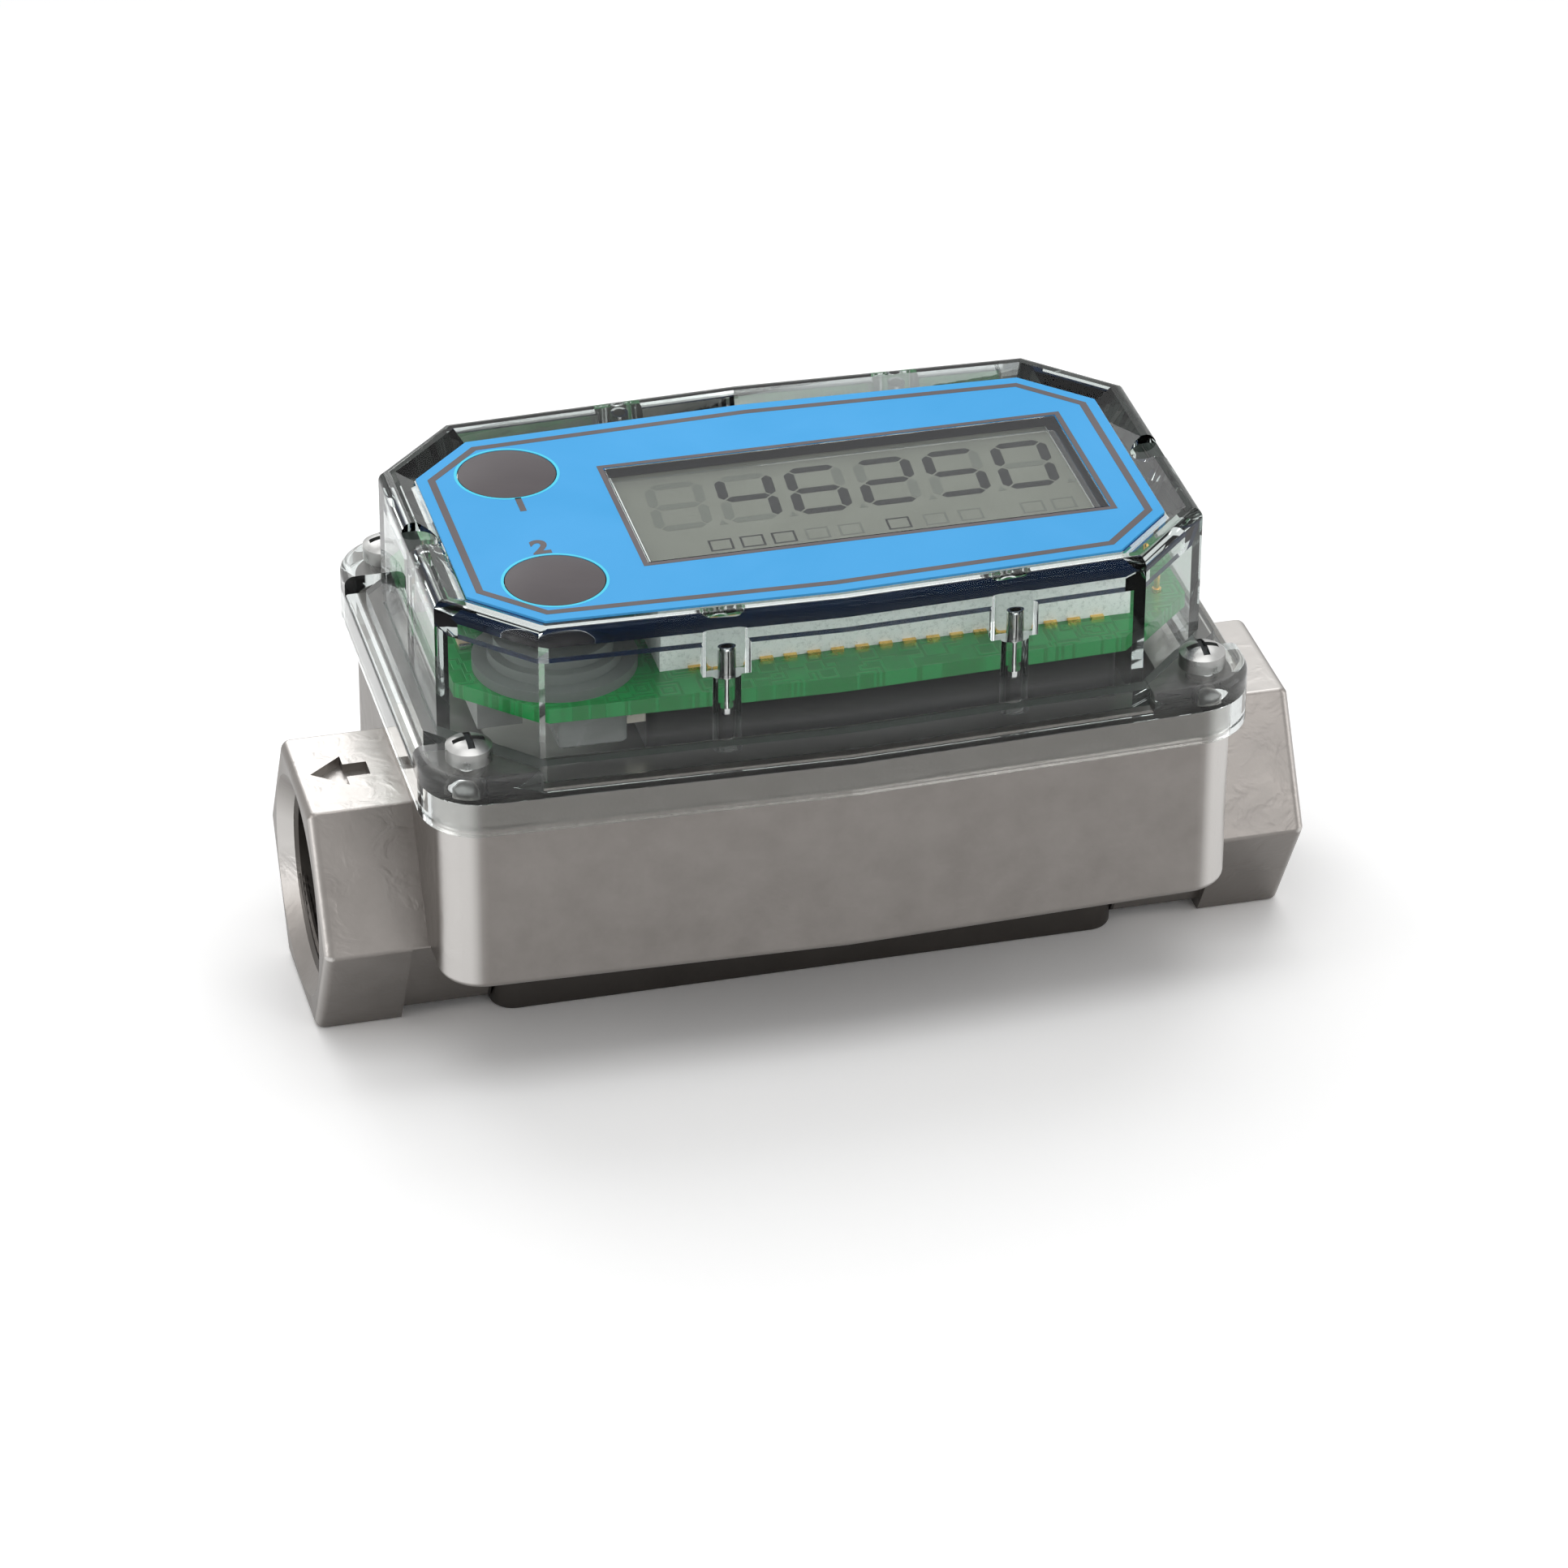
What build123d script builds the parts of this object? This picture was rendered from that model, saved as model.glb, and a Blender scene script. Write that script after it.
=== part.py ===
"""Half-inch turbine flow meter with a battery-powered display under a clear cover.

Millimetres. X runs along the pipe, the front faces -Y and Z is up. The meter stands on z = 0
with its middle over the origin, and liquid flows through it towards -X.
"""

import os

from build123d import *

os.makedirs("parts", exist_ok=True)

# Body casting
port_span = 101.6
port_flats = 25.4
port_full_length = 8.8
port_edge_radius = 0.5
port_face_radius = 1.0
neck_flats = 23.5
block_length = 80.7
block_width = 46.6
block_bow = 1.4
block_corner_radius = 4.5
block_height = 21.7
block_edge_radius = 0.8
foot_length = 65.4
foot_width = 17.4
foot_corner_radius = 2.5
foot_edge_radius = 0.4
pocket_length = 66.0
pocket_width = 35.0
pocket_corner_radius = 4.0
pocket_depth = 5.4
well_floor_wall = 2.0

# Flow arrow sunk in the top flat of the outlet port
arrow_tip_inset = 1.7
arrow_head_length = 3.5
arrow_head_width = 5.6
arrow_shaft_length = 2.4
arrow_shaft_width = 2.4
arrow_depth = 1.0

# Flow passage
thread_bore_diameter = 18.8
thread_depth = 15.0
countersink_diameter = 22.6
chamber_bore_diameter = 11.6
chamber_length = 24.0
support_seat_depth = 0.8
ring_groove_depth = 0.6
ring_thickness = 0.9
ring_groove_clearance = 0.1
ring_radial_clearance = 0.05
ring_gap = 3.0

# Clear cover
skirt_clearance = 0.15
skirt_wall = 1.4
skirt_overlap = 3.3
skirt_edge_radius = 0.35
flange_thickness = 1.2
pad_thickness = 3.2
pad_edge_radius = 1.0
pad_inner_x = 30.7
pad_inner_y = 17.0
ledge_width = 1.5
ledge_thickness = 3.1
dome_length = 77.5
dome_width = 44.0
dome_bow = 1.1
dome_cut_x = 8.4
dome_cut_y = 8.5
dome_wall = 2.0
dome_height = 16.0
top_thickness = 2.0
shoulder_wall = 3.5
shoulder_depth = 1.1
bead_height = 0.95
bead_edge_radius = 1.1
bead_slope_angle = 61.5
end_notch_diameter = 4.6
end_notch_inset = 1.2

# Seal between the cover and the body
seal_width = 1.6
seal_thickness = 1.2
seal_clearance = 0.1

# Cover screws
screw_inset_x = 4.9
screw_inset_y = 4.55
screw_head_diameter = 4.6
screw_head_side = 1.5
screw_head_dome = 0.8
screw_shank_diameter = 2.8
screw_length = 9.5
screw_hole_clearance = 0.2
screw_thread_clearance = 0.02
screw_hole_spare = 0.6
cross_length = 3.2
cross_width = 0.7
cross_depth = 1.1

# Face label and its window
label_margin = 3.52
label_bow = 1.1
label_cut = 6.4
label_thickness = 0.25
label_clearance = 0.15
window_length = 47.0
window_width = 19.7
window_centre_x = 6.86

# Push buttons with their silicone pads and switches
button_frame_gap = 1.41
button_spacing = 22.0
button_diameter = 9.8
button_clearance = 0.1
button_dome = 0.55
button_stem_diameter = 8.0
button_stem_reach = 1.1
button_flange_width = 0.7
button_flange_thickness = 0.6
button_flange_gap = 0.1
button_travel = 0.8
button_stop_gap = 0.1
boot_flange_diameter = 15.6
boot_flange_thickness = 1.1
boot_step_diameter = 12.6
boot_step_thickness = 1.1
boot_top_diameter = 10.6
boot_bore_diameter = 9.0
boot_roof = 1.0
switch_side = 6.2
switch_height = 1.6
switch_plunger_diameter = 3.0
switch_plunger_height = 0.6

# Circuit board and what it carries
board_length = 72.6
board_width = 39.2
board_bow = 1.0
board_cut_x = 7.3
board_cut_y = 7.1
board_thickness = 1.6
board_drop = 6.5
frame_length = 47.7
frame_width = 30.4
frame_wall = 3.0
frame_rim = 1.2
frame_gap = 0.5
glass_thickness = 1.4
glass_recess = 0.1
glass_clearance = 0.1
contact_count = 18
contact_pitch = 2.4
contact_width = 1.3
contact_length = 0.5
contact_thickness = 0.3
chip_side = 10.0
chip_thickness = 1.5
test_pin_frame_gap = 2.89
test_pin_y = -11.6
test_pin_diameter = 0.6
test_pin_height = 2.6
test_pin_collar_diameter = 0.95
test_pin_collar_height = 0.4
battery_box_length = 47.7
battery_box_width = 33.0
battery_box_height = 6.7
battery_box_x = 5.35
battery_box_edge = 1.0
cell_diameter = 20.0
cell_thickness = 3.2
cell_spacing = 22.2
cell_clearance = 0.2
cell_recess_spare = 0.2
clip_length = 2.2
clip_height = 3.6
clip_thickness = 0.5
clip_slot_length = 1.6
clip_slot_width = 0.9
connector_length = 4.5
connector_width = 8.5
connector_height = 4.0
connector_x = -31.75
connector_y = -8.25
connector_wall = 0.8
connector_socket_depth = 2.4
module_length = 6.9
module_width = 11.0
module_height = 4.3
module_edge = 0.6
module_x = -24.25
module_y = -12.3

# Pins that hang the board from posts in the cover
pin_left_x = -11.6
pin_right_x = 17.3
pin_side_y = 20.5
pin_end_x = 36.6
pin_head_diameter = 2.1
pin_head_thickness = 0.9
pin_shank_diameter = 0.84
pin_sleeve_diameter = 1.8
pin_sleeve_length = 3.6
pin_sleeve_drop = 0.4
pin_notch_clearance = 0.1
post_length = 4.8
post_reach = 1.9
post_corner_radius = 1.2
post_bottom_gap = 2.0
post_groove_diameter = 2.9
post_groove_floor = 1.6
scallop_diameter = 5.2
scallop_inset = 2.9

# Pickup coil over the rotor
coil_diameter = 10.0
coil_flange_thickness = 0.9
coil_winding_diameter = 8.6
coil_height = 7.6
coil_clearance = 0.2

# Rotor, shaft, bearings and vaned supports
rotor_length = 6.4
rotor_hub_diameter = 4.8
rotor_tip_clearance = 0.35
blade_count = 6
blade_thickness = 0.7
blade_twist = 48.0
blade_root_depth = 0.5
magnet_diameter = 1.2
magnet_length = 1.3
shaft_diameter = 1.2
shaft_running_clearance = 0.05
shaft_end_gap = 0.1
hub_gap = 1.0
bearing_diameter = 2.6
bearing_length = 3.0
bearing_bore_depth = 2.3
support_length = 11.0
support_ring_wall = 0.7
support_clearance = 0.1
support_nose_length = 4.0
vane_count = 4
vane_thickness = 0.9
vane_length = 8.0
vane_inset = 0.6

# Heights, radii and places that follow from the sizes above
pipe_height = port_flats / 2
block_top = pipe_height + block_height
skirt_bottom = block_top - skirt_overlap
pad_top = block_top + pad_thickness
dome_top = block_top + dome_height
top_underside = dome_top - top_thickness
bead_top = dome_top + bead_height
label_top = dome_top + label_thickness
board_top = top_underside - board_drop
board_bottom = board_top - board_thickness
cover_length = block_length + 2 * (skirt_clearance + skirt_wall)
cover_width = block_width + 2 * (skirt_clearance + skirt_wall)
cover_corner_radius = block_corner_radius + skirt_clearance + skirt_wall
screw_x = cover_length / 2 - screw_inset_x
screw_y = cover_width / 2 - screw_inset_y
chamber_radius = chamber_bore_diameter / 2
seat_start = chamber_length / 2
seat_radius = chamber_radius + support_seat_depth
ring_start = seat_start + support_length + ring_groove_clearance
groove_end = ring_start + ring_thickness + ring_groove_clearance
groove_radius = seat_radius + ring_groove_depth
thread_radius = thread_bore_diameter / 2
thread_start = port_span / 2 - thread_depth
countersink_radius = countersink_diameter / 2
well_floor = pipe_height + chamber_radius + well_floor_wall
pocket_floor = block_top - pocket_depth
hub_radius = rotor_hub_diameter / 2
hub_face = rotor_length / 2 + hub_gap
tip_radius = chamber_radius - rotor_tip_clearance
post_bottom = board_top + post_bottom_gap
sleeve_bottom = post_bottom - pin_sleeve_drop
button_x = window_centre_x - (frame_length + boot_flange_diameter) / 2 - button_frame_gap
test_pin_x = window_centre_x + frame_length / 2 + test_pin_frame_gap
button_radius = button_diameter / 2
button_hole_radius = button_radius + button_clearance
button_stem_bottom = top_underside - button_flange_gap - button_flange_thickness - button_stem_reach
boot_top = button_stem_bottom - button_travel - button_stop_gap
battery_box_bottom = board_bottom - battery_box_height
button_places = {"upper": button_spacing / 2, "lower": -button_spacing / 2}
front_pins = [(pin_left_x, -pin_side_y, 0), (pin_right_x, -pin_side_y, 0)]
back_pins = [(pin_left_x, pin_side_y, 180), (pin_right_x, pin_side_y, 180)]
end_pins = [(pin_end_x, 0, 90), (-pin_end_x, 0, 270)]
all_pins = front_pins + back_pins + end_pins


def bowed_rectangle(length, width, bow, radius):
    """Round-cornered rectangle whose long sides stand out to a slight point at the middle."""
    half_length = length / 2
    half_width = width / 2
    with BuildSketch(mode=Mode.PRIVATE) as outline:
        with BuildLine():
            Polyline(
                (-half_length, -half_width),
                (0, -half_width - bow),
                (half_length, -half_width),
                (half_length, half_width),
                (0, half_width + bow),
                (-half_length, half_width),
                close=True,
            )
        make_face()
        corners = outline.vertices().filter_by(lambda corner: abs(corner.X) > half_length / 2)
        fillet(corners, radius)
    return outline.sketch


def ten_sided(length, width, bow, cut_x, cut_y, grow=0.0):
    """Rectangle with cut corners and slightly pointed long sides, grown or shrunk all round."""
    half_length = length / 2
    half_width = width / 2
    with BuildSketch(mode=Mode.PRIVATE) as outline:
        with BuildLine():
            Polyline(
                (-half_length, cut_y - half_width),
                (cut_x - half_length, -half_width),
                (0, -half_width - bow),
                (half_length - cut_x, -half_width),
                (half_length, cut_y - half_width),
                (half_length, half_width - cut_y),
                (half_length - cut_x, half_width),
                (0, half_width + bow),
                (cut_x - half_length, half_width),
                (-half_length, half_width - cut_y),
                close=True,
            )
        make_face()
        if grow:
            offset(amount=grow, kind=Kind.INTERSECTION)
    return outline.sketch


def dome_outline(grow=0.0):
    """Outline of the cover's upright wall, grown or shrunk all round."""
    return ten_sided(dome_length, dome_width, dome_bow, dome_cut_x, dome_cut_y, grow)


def label_outline(grow=0.0):
    """Outline of the printed face label, grown or shrunk all round."""
    length = dome_length - 2 * label_margin
    width = dome_width - 2 * label_margin
    return ten_sided(length, width, label_bow, label_cut, label_cut, grow)


def across_pipe(x, turn=0.0):
    """Plane square to the pipe at x, centred on its axis, with its Y upwards before the turn."""
    sideways = Vector(0, 1, 0).rotate(Axis.X, turn)
    return Plane(origin=(x, 0, pipe_height), x_dir=sideways, z_dir=(1, 0, 0))


def at_pin(place, height):
    """Plane at a board pin, with its Y pointing into the cover."""
    x, y, turn = place
    return Plane.XY.offset(height) * Location((x, y, 0), (0, 0, turn))


def crown_arc(radius, base, height):
    """Arc from a rim up to the axis, level where it meets the axis."""
    crown_radius = (radius**2 + height**2) / (2 * height)
    middle_height = base + height - crown_radius + (crown_radius**2 - radius**2 / 4) ** 0.5
    return ThreePointArc((radius, base), (radius / 2, middle_height), (0, base + height))


def at_magnet(side):
    """Plane at the inner end of a magnet, which stands between two blades of the rotor."""
    outwards = Vector(0, 1, 0).rotate(Axis.X, side + 180 / blade_count)
    plane = Plane(origin=(0, 0, pipe_height), x_dir=(1, 0, 0), z_dir=outwards)
    return plane.offset(hub_radius - magnet_length)


def finish(piece, name):
    """Names a finished piece and writes it to its own file."""
    piece.part.label = name
    export_step(piece.part, f"parts/{name}.step")


along_pipe = Plane(origin=(0, 0, pipe_height), x_dir=(1, 0, 0), z_dir=(0, -1, 0))
pipe_axis = Axis((0, 0, pipe_height), (1, 0, 0))

# Body casting: block, foot, necks and hexagon ports
with BuildPart() as block:
    with BuildSketch(Plane.XY.offset(pipe_height)):
        add(bowed_rectangle(block_length, block_width, block_bow, block_corner_radius))
    extrude(amount=block_height)
    fillet(block.faces().sort_by(Axis.Z)[0].edges(), block_edge_radius)

with BuildPart() as foot:
    with BuildSketch():
        RectangleRounded(foot_length, foot_width, foot_corner_radius)
    extrude(amount=pipe_height + block_edge_radius)
    fillet(foot.faces().sort_by(Axis.Z)[0].edges(), foot_edge_radius)

with BuildPart() as port:
    port_shoulder = port_span / 2 - port_full_length
    with BuildSketch(across_pipe(port_shoulder)) as port_hexagon:
        RegularPolygon(port_flats / 2, 6, major_radius=False)
        fillet(port_hexagon.vertices(), port_edge_radius)
    extrude(amount=port_full_length)
    fillet(port.faces().sort_by(Axis.X)[-1].edges(), port_face_radius)
    with BuildSketch(across_pipe(foot_length / 2)) as neck_hexagon:
        RegularPolygon(neck_flats / 2, 6, major_radius=False)
        fillet(neck_hexagon.vertices(), port_edge_radius)
    extrude(amount=port_shoulder - foot_length / 2)
    root_start = block_length / 2 - block_corner_radius
    with BuildSketch(across_pipe(root_start)) as root_hexagon:
        RegularPolygon(port_flats / 2, 6, major_radius=False)
        fillet(root_hexagon.vertices(), port_edge_radius)
        with Locations((0, -port_flats / 2)):
            Rectangle(2 * port_flats, port_flats, mode=Mode.SUBTRACT)
    extrude(amount=port_shoulder - root_start)

with BuildPart() as flow_passage:
    with BuildSketch(along_pipe):
        with BuildLine():
            Polyline(
                (0, 0),
                (0, chamber_radius),
                (seat_start, chamber_radius),
                (seat_start, seat_radius),
                (ring_start - ring_groove_clearance, seat_radius),
                (ring_start - ring_groove_clearance, groove_radius),
                (groove_end, groove_radius),
                (groove_end, seat_radius),
                (thread_start - (thread_radius - seat_radius), seat_radius),
                (thread_start, thread_radius),
                (port_span / 2 - (countersink_radius - thread_radius), thread_radius),
                (port_span / 2, countersink_radius),
                (port_span / 2, 0),
                close=True,
            )
        make_face()
    revolve(axis=pipe_axis)
    mirror(about=Plane.YZ)

with BuildPart() as meter_body:
    add(block.part)
    add(foot.part)
    add(port.part)
    add(port.part.mirror(Plane.YZ))
    add(flow_passage.part, mode=Mode.SUBTRACT)
    with BuildSketch(Plane.XY.offset(pocket_floor)):
        RectangleRounded(pocket_length, pocket_width, pocket_corner_radius)
    extrude(amount=pocket_depth, mode=Mode.SUBTRACT)
    with BuildSketch(Plane.XY.offset(well_floor)):
        Circle(coil_diameter / 2 + coil_clearance)
    extrude(amount=pocket_floor - well_floor, mode=Mode.SUBTRACT)
    with BuildSketch(Plane.XY.offset(block_top - seal_thickness)):
        add(dome_outline((seal_width - dome_wall) / 2 + seal_clearance))
        add(dome_outline(-(seal_width + dome_wall) / 2 - seal_clearance), mode=Mode.SUBTRACT)
    extrude(amount=seal_thickness, mode=Mode.SUBTRACT)
    screw_depth = screw_length - pad_thickness + screw_hole_spare
    with BuildSketch(Plane.XY.offset(block_top - screw_depth)):
        with GridLocations(2 * screw_x, 2 * screw_y, 2, 2):
            Circle(screw_shank_diameter / 2 + screw_thread_clearance)
    extrude(amount=screw_depth, mode=Mode.SUBTRACT)
    arrow_tip_x = arrow_tip_inset - port_span / 2
    arrow_barb_x = arrow_tip_x + arrow_head_length
    arrow_end_x = arrow_barb_x + arrow_shaft_length
    with BuildSketch(Plane.XY.offset(port_flats - arrow_depth)):
        with BuildLine():
            Polyline(
                (arrow_tip_x, 0),
                (arrow_barb_x, -arrow_head_width / 2),
                (arrow_barb_x, -arrow_shaft_width / 2),
                (arrow_end_x, -arrow_shaft_width / 2),
                (arrow_end_x, arrow_shaft_width / 2),
                (arrow_barb_x, arrow_shaft_width / 2),
                (arrow_barb_x, arrow_head_width / 2),
                close=True,
            )
        make_face()
    extrude(amount=arrow_depth, mode=Mode.SUBTRACT)
finish(meter_body, "meter_body")

# Clear cover: skirt and flange, corner pads, ledge, upright wall, top and bead
with BuildPart() as skirt:
    with BuildSketch(Plane.XY.offset(skirt_bottom)):
        add(bowed_rectangle(cover_length, cover_width, block_bow, cover_corner_radius))
    extrude(amount=skirt_overlap + flange_thickness)
    fillet(skirt.faces().sort_by(Axis.Z)[0].edges(), skirt_edge_radius)
    fillet(skirt.faces().sort_by(Axis.Z)[-1].edges(), skirt_edge_radius)
    inner_length = block_length + 2 * skirt_clearance
    inner_width = block_width + 2 * skirt_clearance
    inner_radius = block_corner_radius + skirt_clearance
    with BuildSketch(Plane.XY.offset(skirt_bottom)):
        add(bowed_rectangle(inner_length, inner_width, block_bow, inner_radius))
    extrude(amount=skirt_overlap, mode=Mode.SUBTRACT)

with BuildPart() as corner_pads:
    with BuildSketch(Plane.XY.offset(block_top)):
        add(bowed_rectangle(cover_length, cover_width, block_bow, cover_corner_radius))
    extrude(amount=pad_thickness)
    fillet(corner_pads.faces().sort_by(Axis.Z)[-1].edges(), pad_edge_radius)
    with BuildSketch(Plane.XY.offset(block_top)):
        Rectangle(2 * pad_inner_x, 2 * cover_width)
        Rectangle(2 * cover_length, 2 * pad_inner_y)
    extrude(amount=pad_thickness, mode=Mode.SUBTRACT)

with BuildPart() as dome:
    with BuildSketch(Plane.XY.offset(block_top)):
        add(dome_outline())
    extrude(amount=bead_top - block_top)
    fillet(dome.faces().sort_by(Axis.Z)[-1].edges(), bead_edge_radius)
    with BuildSketch(Plane.XY.offset(dome_top)):
        add(label_outline(label_clearance))
    extrude(amount=bead_height, taper=-bead_slope_angle, mode=Mode.SUBTRACT)

with BuildPart() as dome_cavity:
    with BuildSketch(Plane.XY.offset(block_top)):
        add(dome_outline(-dome_wall))
    extrude(amount=top_underside - shoulder_depth - block_top)
    with BuildSketch(Plane.XY.offset(top_underside - shoulder_depth)):
        add(dome_outline(-shoulder_wall))
    extrude(amount=shoulder_depth)

with BuildPart() as clear_cover:
    add(skirt.part)
    add(corner_pads.part)
    with BuildSketch(Plane.XY.offset(block_top)):
        add(dome_outline(ledge_width))
    extrude(amount=ledge_thickness)
    add(dome.part)
    add(dome_cavity.part, mode=Mode.SUBTRACT)
    with BuildSketch(Plane.XY.offset(dome_top)):
        with Locations((window_centre_x, 0)):
            Rectangle(window_length - 2 * label_clearance, window_width - 2 * label_clearance)
    extrude(amount=label_thickness)
    for place in all_pins:
        with BuildSketch(at_pin(place, post_bottom)) as post_outline:
            with Locations((0, (post_reach - dome_wall / 2) / 2)):
                Rectangle(post_length, post_reach + dome_wall / 2)
            fillet(post_outline.vertices().group_by(Axis.Y)[-1], post_corner_radius)
        extrude(amount=top_underside - post_bottom)
        with BuildSketch(at_pin(place, post_bottom)):
            Circle(pin_sleeve_diameter / 2)
        extrude(amount=pin_sleeve_length - pin_sleeve_drop, mode=Mode.SUBTRACT)
        with BuildSketch(at_pin(place, block_top + post_groove_floor)):
            Circle(post_groove_diameter / 2)
        extrude(amount=post_bottom - block_top - post_groove_floor, mode=Mode.SUBTRACT)
    for place in front_pins:
        with BuildSketch(at_pin(place, dome_top)):
            with Locations((0, scallop_inset)):
                Circle(scallop_diameter / 2)
        extrude(amount=bead_height, mode=Mode.SUBTRACT)
    for place in end_pins:
        with BuildSketch(at_pin(place, dome_top)):
            with Locations((0, -end_notch_inset)):
                Circle(end_notch_diameter / 2)
        extrude(amount=bead_height, mode=Mode.SUBTRACT)
    with BuildSketch(Plane.XY.offset(block_top)):
        with GridLocations(2 * screw_x, 2 * screw_y, 2, 2):
            Circle(screw_shank_diameter / 2 + screw_hole_clearance)
    extrude(amount=pad_thickness, mode=Mode.SUBTRACT)
    with BuildSketch(Plane.XY.offset(top_underside)):
        for button_y in button_places.values():
            with Locations((button_x, button_y)):
                Circle(button_hole_radius)
    extrude(amount=top_thickness, mode=Mode.SUBTRACT)
finish(clear_cover, "clear_cover")

with BuildPart() as cover_seal:
    with BuildSketch(Plane.XY.offset(block_top - seal_thickness)):
        add(dome_outline((seal_width - dome_wall) / 2))
        add(dome_outline(-(seal_width + dome_wall) / 2), mode=Mode.SUBTRACT)
    extrude(amount=seal_thickness)
finish(cover_seal, "cover_seal")

with BuildPart() as face_label:
    with BuildSketch(Plane.XY.offset(dome_top)):
        add(label_outline())
        with Locations((window_centre_x, 0)):
            Rectangle(window_length, window_width, mode=Mode.SUBTRACT)
        for button_y in button_places.values():
            with Locations((button_x, button_y)):
                Circle(button_hole_radius, mode=Mode.SUBTRACT)
    extrude(amount=label_thickness)
finish(face_label, "face_label")

# Cover screws with rounded heads and a cross recess
with BuildPart() as screw:
    head_radius = screw_head_diameter / 2
    shank_radius = screw_shank_diameter / 2
    side_top = pad_top + screw_head_side
    head_top = side_top + screw_head_dome
    with BuildSketch(Plane.XZ):
        with BuildLine():
            Polyline(
                (0, head_top),
                (0, pad_top - screw_length),
                (shank_radius, pad_top - screw_length),
                (shank_radius, pad_top),
                (head_radius, pad_top),
                (head_radius, side_top),
            )
            crown_arc(head_radius, side_top, screw_head_dome)
        make_face()
    revolve(axis=Axis.Z)
    with BuildSketch(Plane.XY.offset(head_top - cross_depth)):
        Rectangle(cross_length, cross_width)
        Rectangle(cross_width, cross_length)
    extrude(amount=cross_depth, mode=Mode.SUBTRACT)

with BuildPart() as cover_screws:
    with GridLocations(2 * screw_x, 2 * screw_y, 2, 2):
        add(screw.part)
finish(cover_screws, "cover_screws")

# Push buttons, which slide down through the top on sprung silicone pads
for position, button_y in button_places.items():
    with BuildPart() as button:
        flange_top = top_underside - button_flange_gap
        with BuildSketch(Plane.XY.offset(button_stem_bottom)):
            with Locations((button_x, button_y)):
                Circle(button_stem_diameter / 2)
        extrude(amount=button_stem_reach)
        with BuildSketch(Plane.XY.offset(flange_top - button_flange_thickness)):
            with Locations((button_x, button_y)):
                Circle(button_radius + button_flange_width)
        extrude(amount=button_flange_thickness)
        with BuildSketch(Plane.XY.offset(flange_top)):
            with Locations((button_x, button_y)):
                Circle(button_radius)
        extrude(amount=label_top - flange_top)
        crown_centre = (button_x, button_y, label_top)
        with BuildSketch(Plane(origin=crown_centre, x_dir=(1, 0, 0), z_dir=(0, -1, 0))):
            with BuildLine():
                Polyline((0, button_dome), (0, 0), (button_radius, 0))
                crown_arc(button_radius, 0, button_dome)
            make_face()
        revolve(axis=Axis((button_x, button_y, 0), (0, 0, 1)))
    finish(button, f"{position}_button")

    with BuildPart() as boot:
        with BuildSketch(Plane.XY.offset(board_top)):
            with Locations((button_x, button_y)):
                Circle(boot_flange_diameter / 2)
        extrude(amount=boot_flange_thickness)
        with BuildSketch(Plane.XY.offset(board_top + boot_flange_thickness)):
            with Locations((button_x, button_y)):
                Circle(boot_step_diameter / 2)
        extrude(amount=boot_step_thickness)
        step_top = board_top + boot_flange_thickness + boot_step_thickness
        with BuildSketch(Plane.XY.offset(step_top)):
            with Locations((button_x, button_y)):
                Circle(boot_top_diameter / 2)
        extrude(amount=boot_top - step_top)
        with BuildSketch(Plane.XY.offset(board_top)):
            with Locations((button_x, button_y)):
                Circle(boot_bore_diameter / 2)
        extrude(amount=boot_top - boot_roof - board_top, mode=Mode.SUBTRACT)
    finish(boot, f"{position}_button_pad")

with BuildPart() as button_switches:
    switch_places = [(button_x, button_y) for button_y in button_places.values()]
    with BuildSketch(Plane.XY.offset(board_top)):
        with Locations(*switch_places):
            Rectangle(switch_side, switch_side)
    extrude(amount=switch_height)
    with BuildSketch(Plane.XY.offset(board_top + switch_height)):
        with Locations(*switch_places):
            Circle(switch_plunger_diameter / 2)
    extrude(amount=switch_plunger_height)
finish(button_switches, "button_switches")

# Circuit board with a notch for each hanging pin
with BuildPart() as circuit_board:
    with BuildSketch(Plane.XY.offset(board_bottom)):
        add(ten_sided(board_length, board_width, board_bow, board_cut_x, board_cut_y))
        for pin_x, pin_y, _ in all_pins:
            with Locations((pin_x, pin_y)):
                Circle(pin_shank_diameter / 2 + pin_notch_clearance, mode=Mode.SUBTRACT)
    extrude(amount=board_thickness)
finish(circuit_board, "circuit_board")

with BuildPart() as pin:
    head_bottom = board_bottom - pin_head_thickness
    sleeve_top = sleeve_bottom + pin_sleeve_length
    sleeve_radius = pin_sleeve_diameter / 2
    with BuildSketch(Plane.XY.offset(head_bottom)):
        Circle(pin_head_diameter / 2)
    extrude(amount=pin_head_thickness)
    chamfer(pin.faces().sort_by(Axis.Z)[0].edges(), pin_head_thickness / 3)
    with BuildSketch(Plane.XY.offset(board_bottom)):
        Circle(pin_shank_diameter / 2)
    extrude(amount=sleeve_bottom - board_bottom)
    with BuildSketch(Plane.XY.offset(sleeve_bottom)):
        Circle(sleeve_radius)
    extrude(amount=pin_sleeve_length)
    chamfer(pin.faces().sort_by(Axis.Z)[-1].edges(), sleeve_radius / 3)

with BuildPart() as board_pins:
    for pin_x, pin_y, _ in all_pins:
        with Locations((pin_x, pin_y)):
            add(pin.part)
finish(board_pins, "board_pins")

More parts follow.
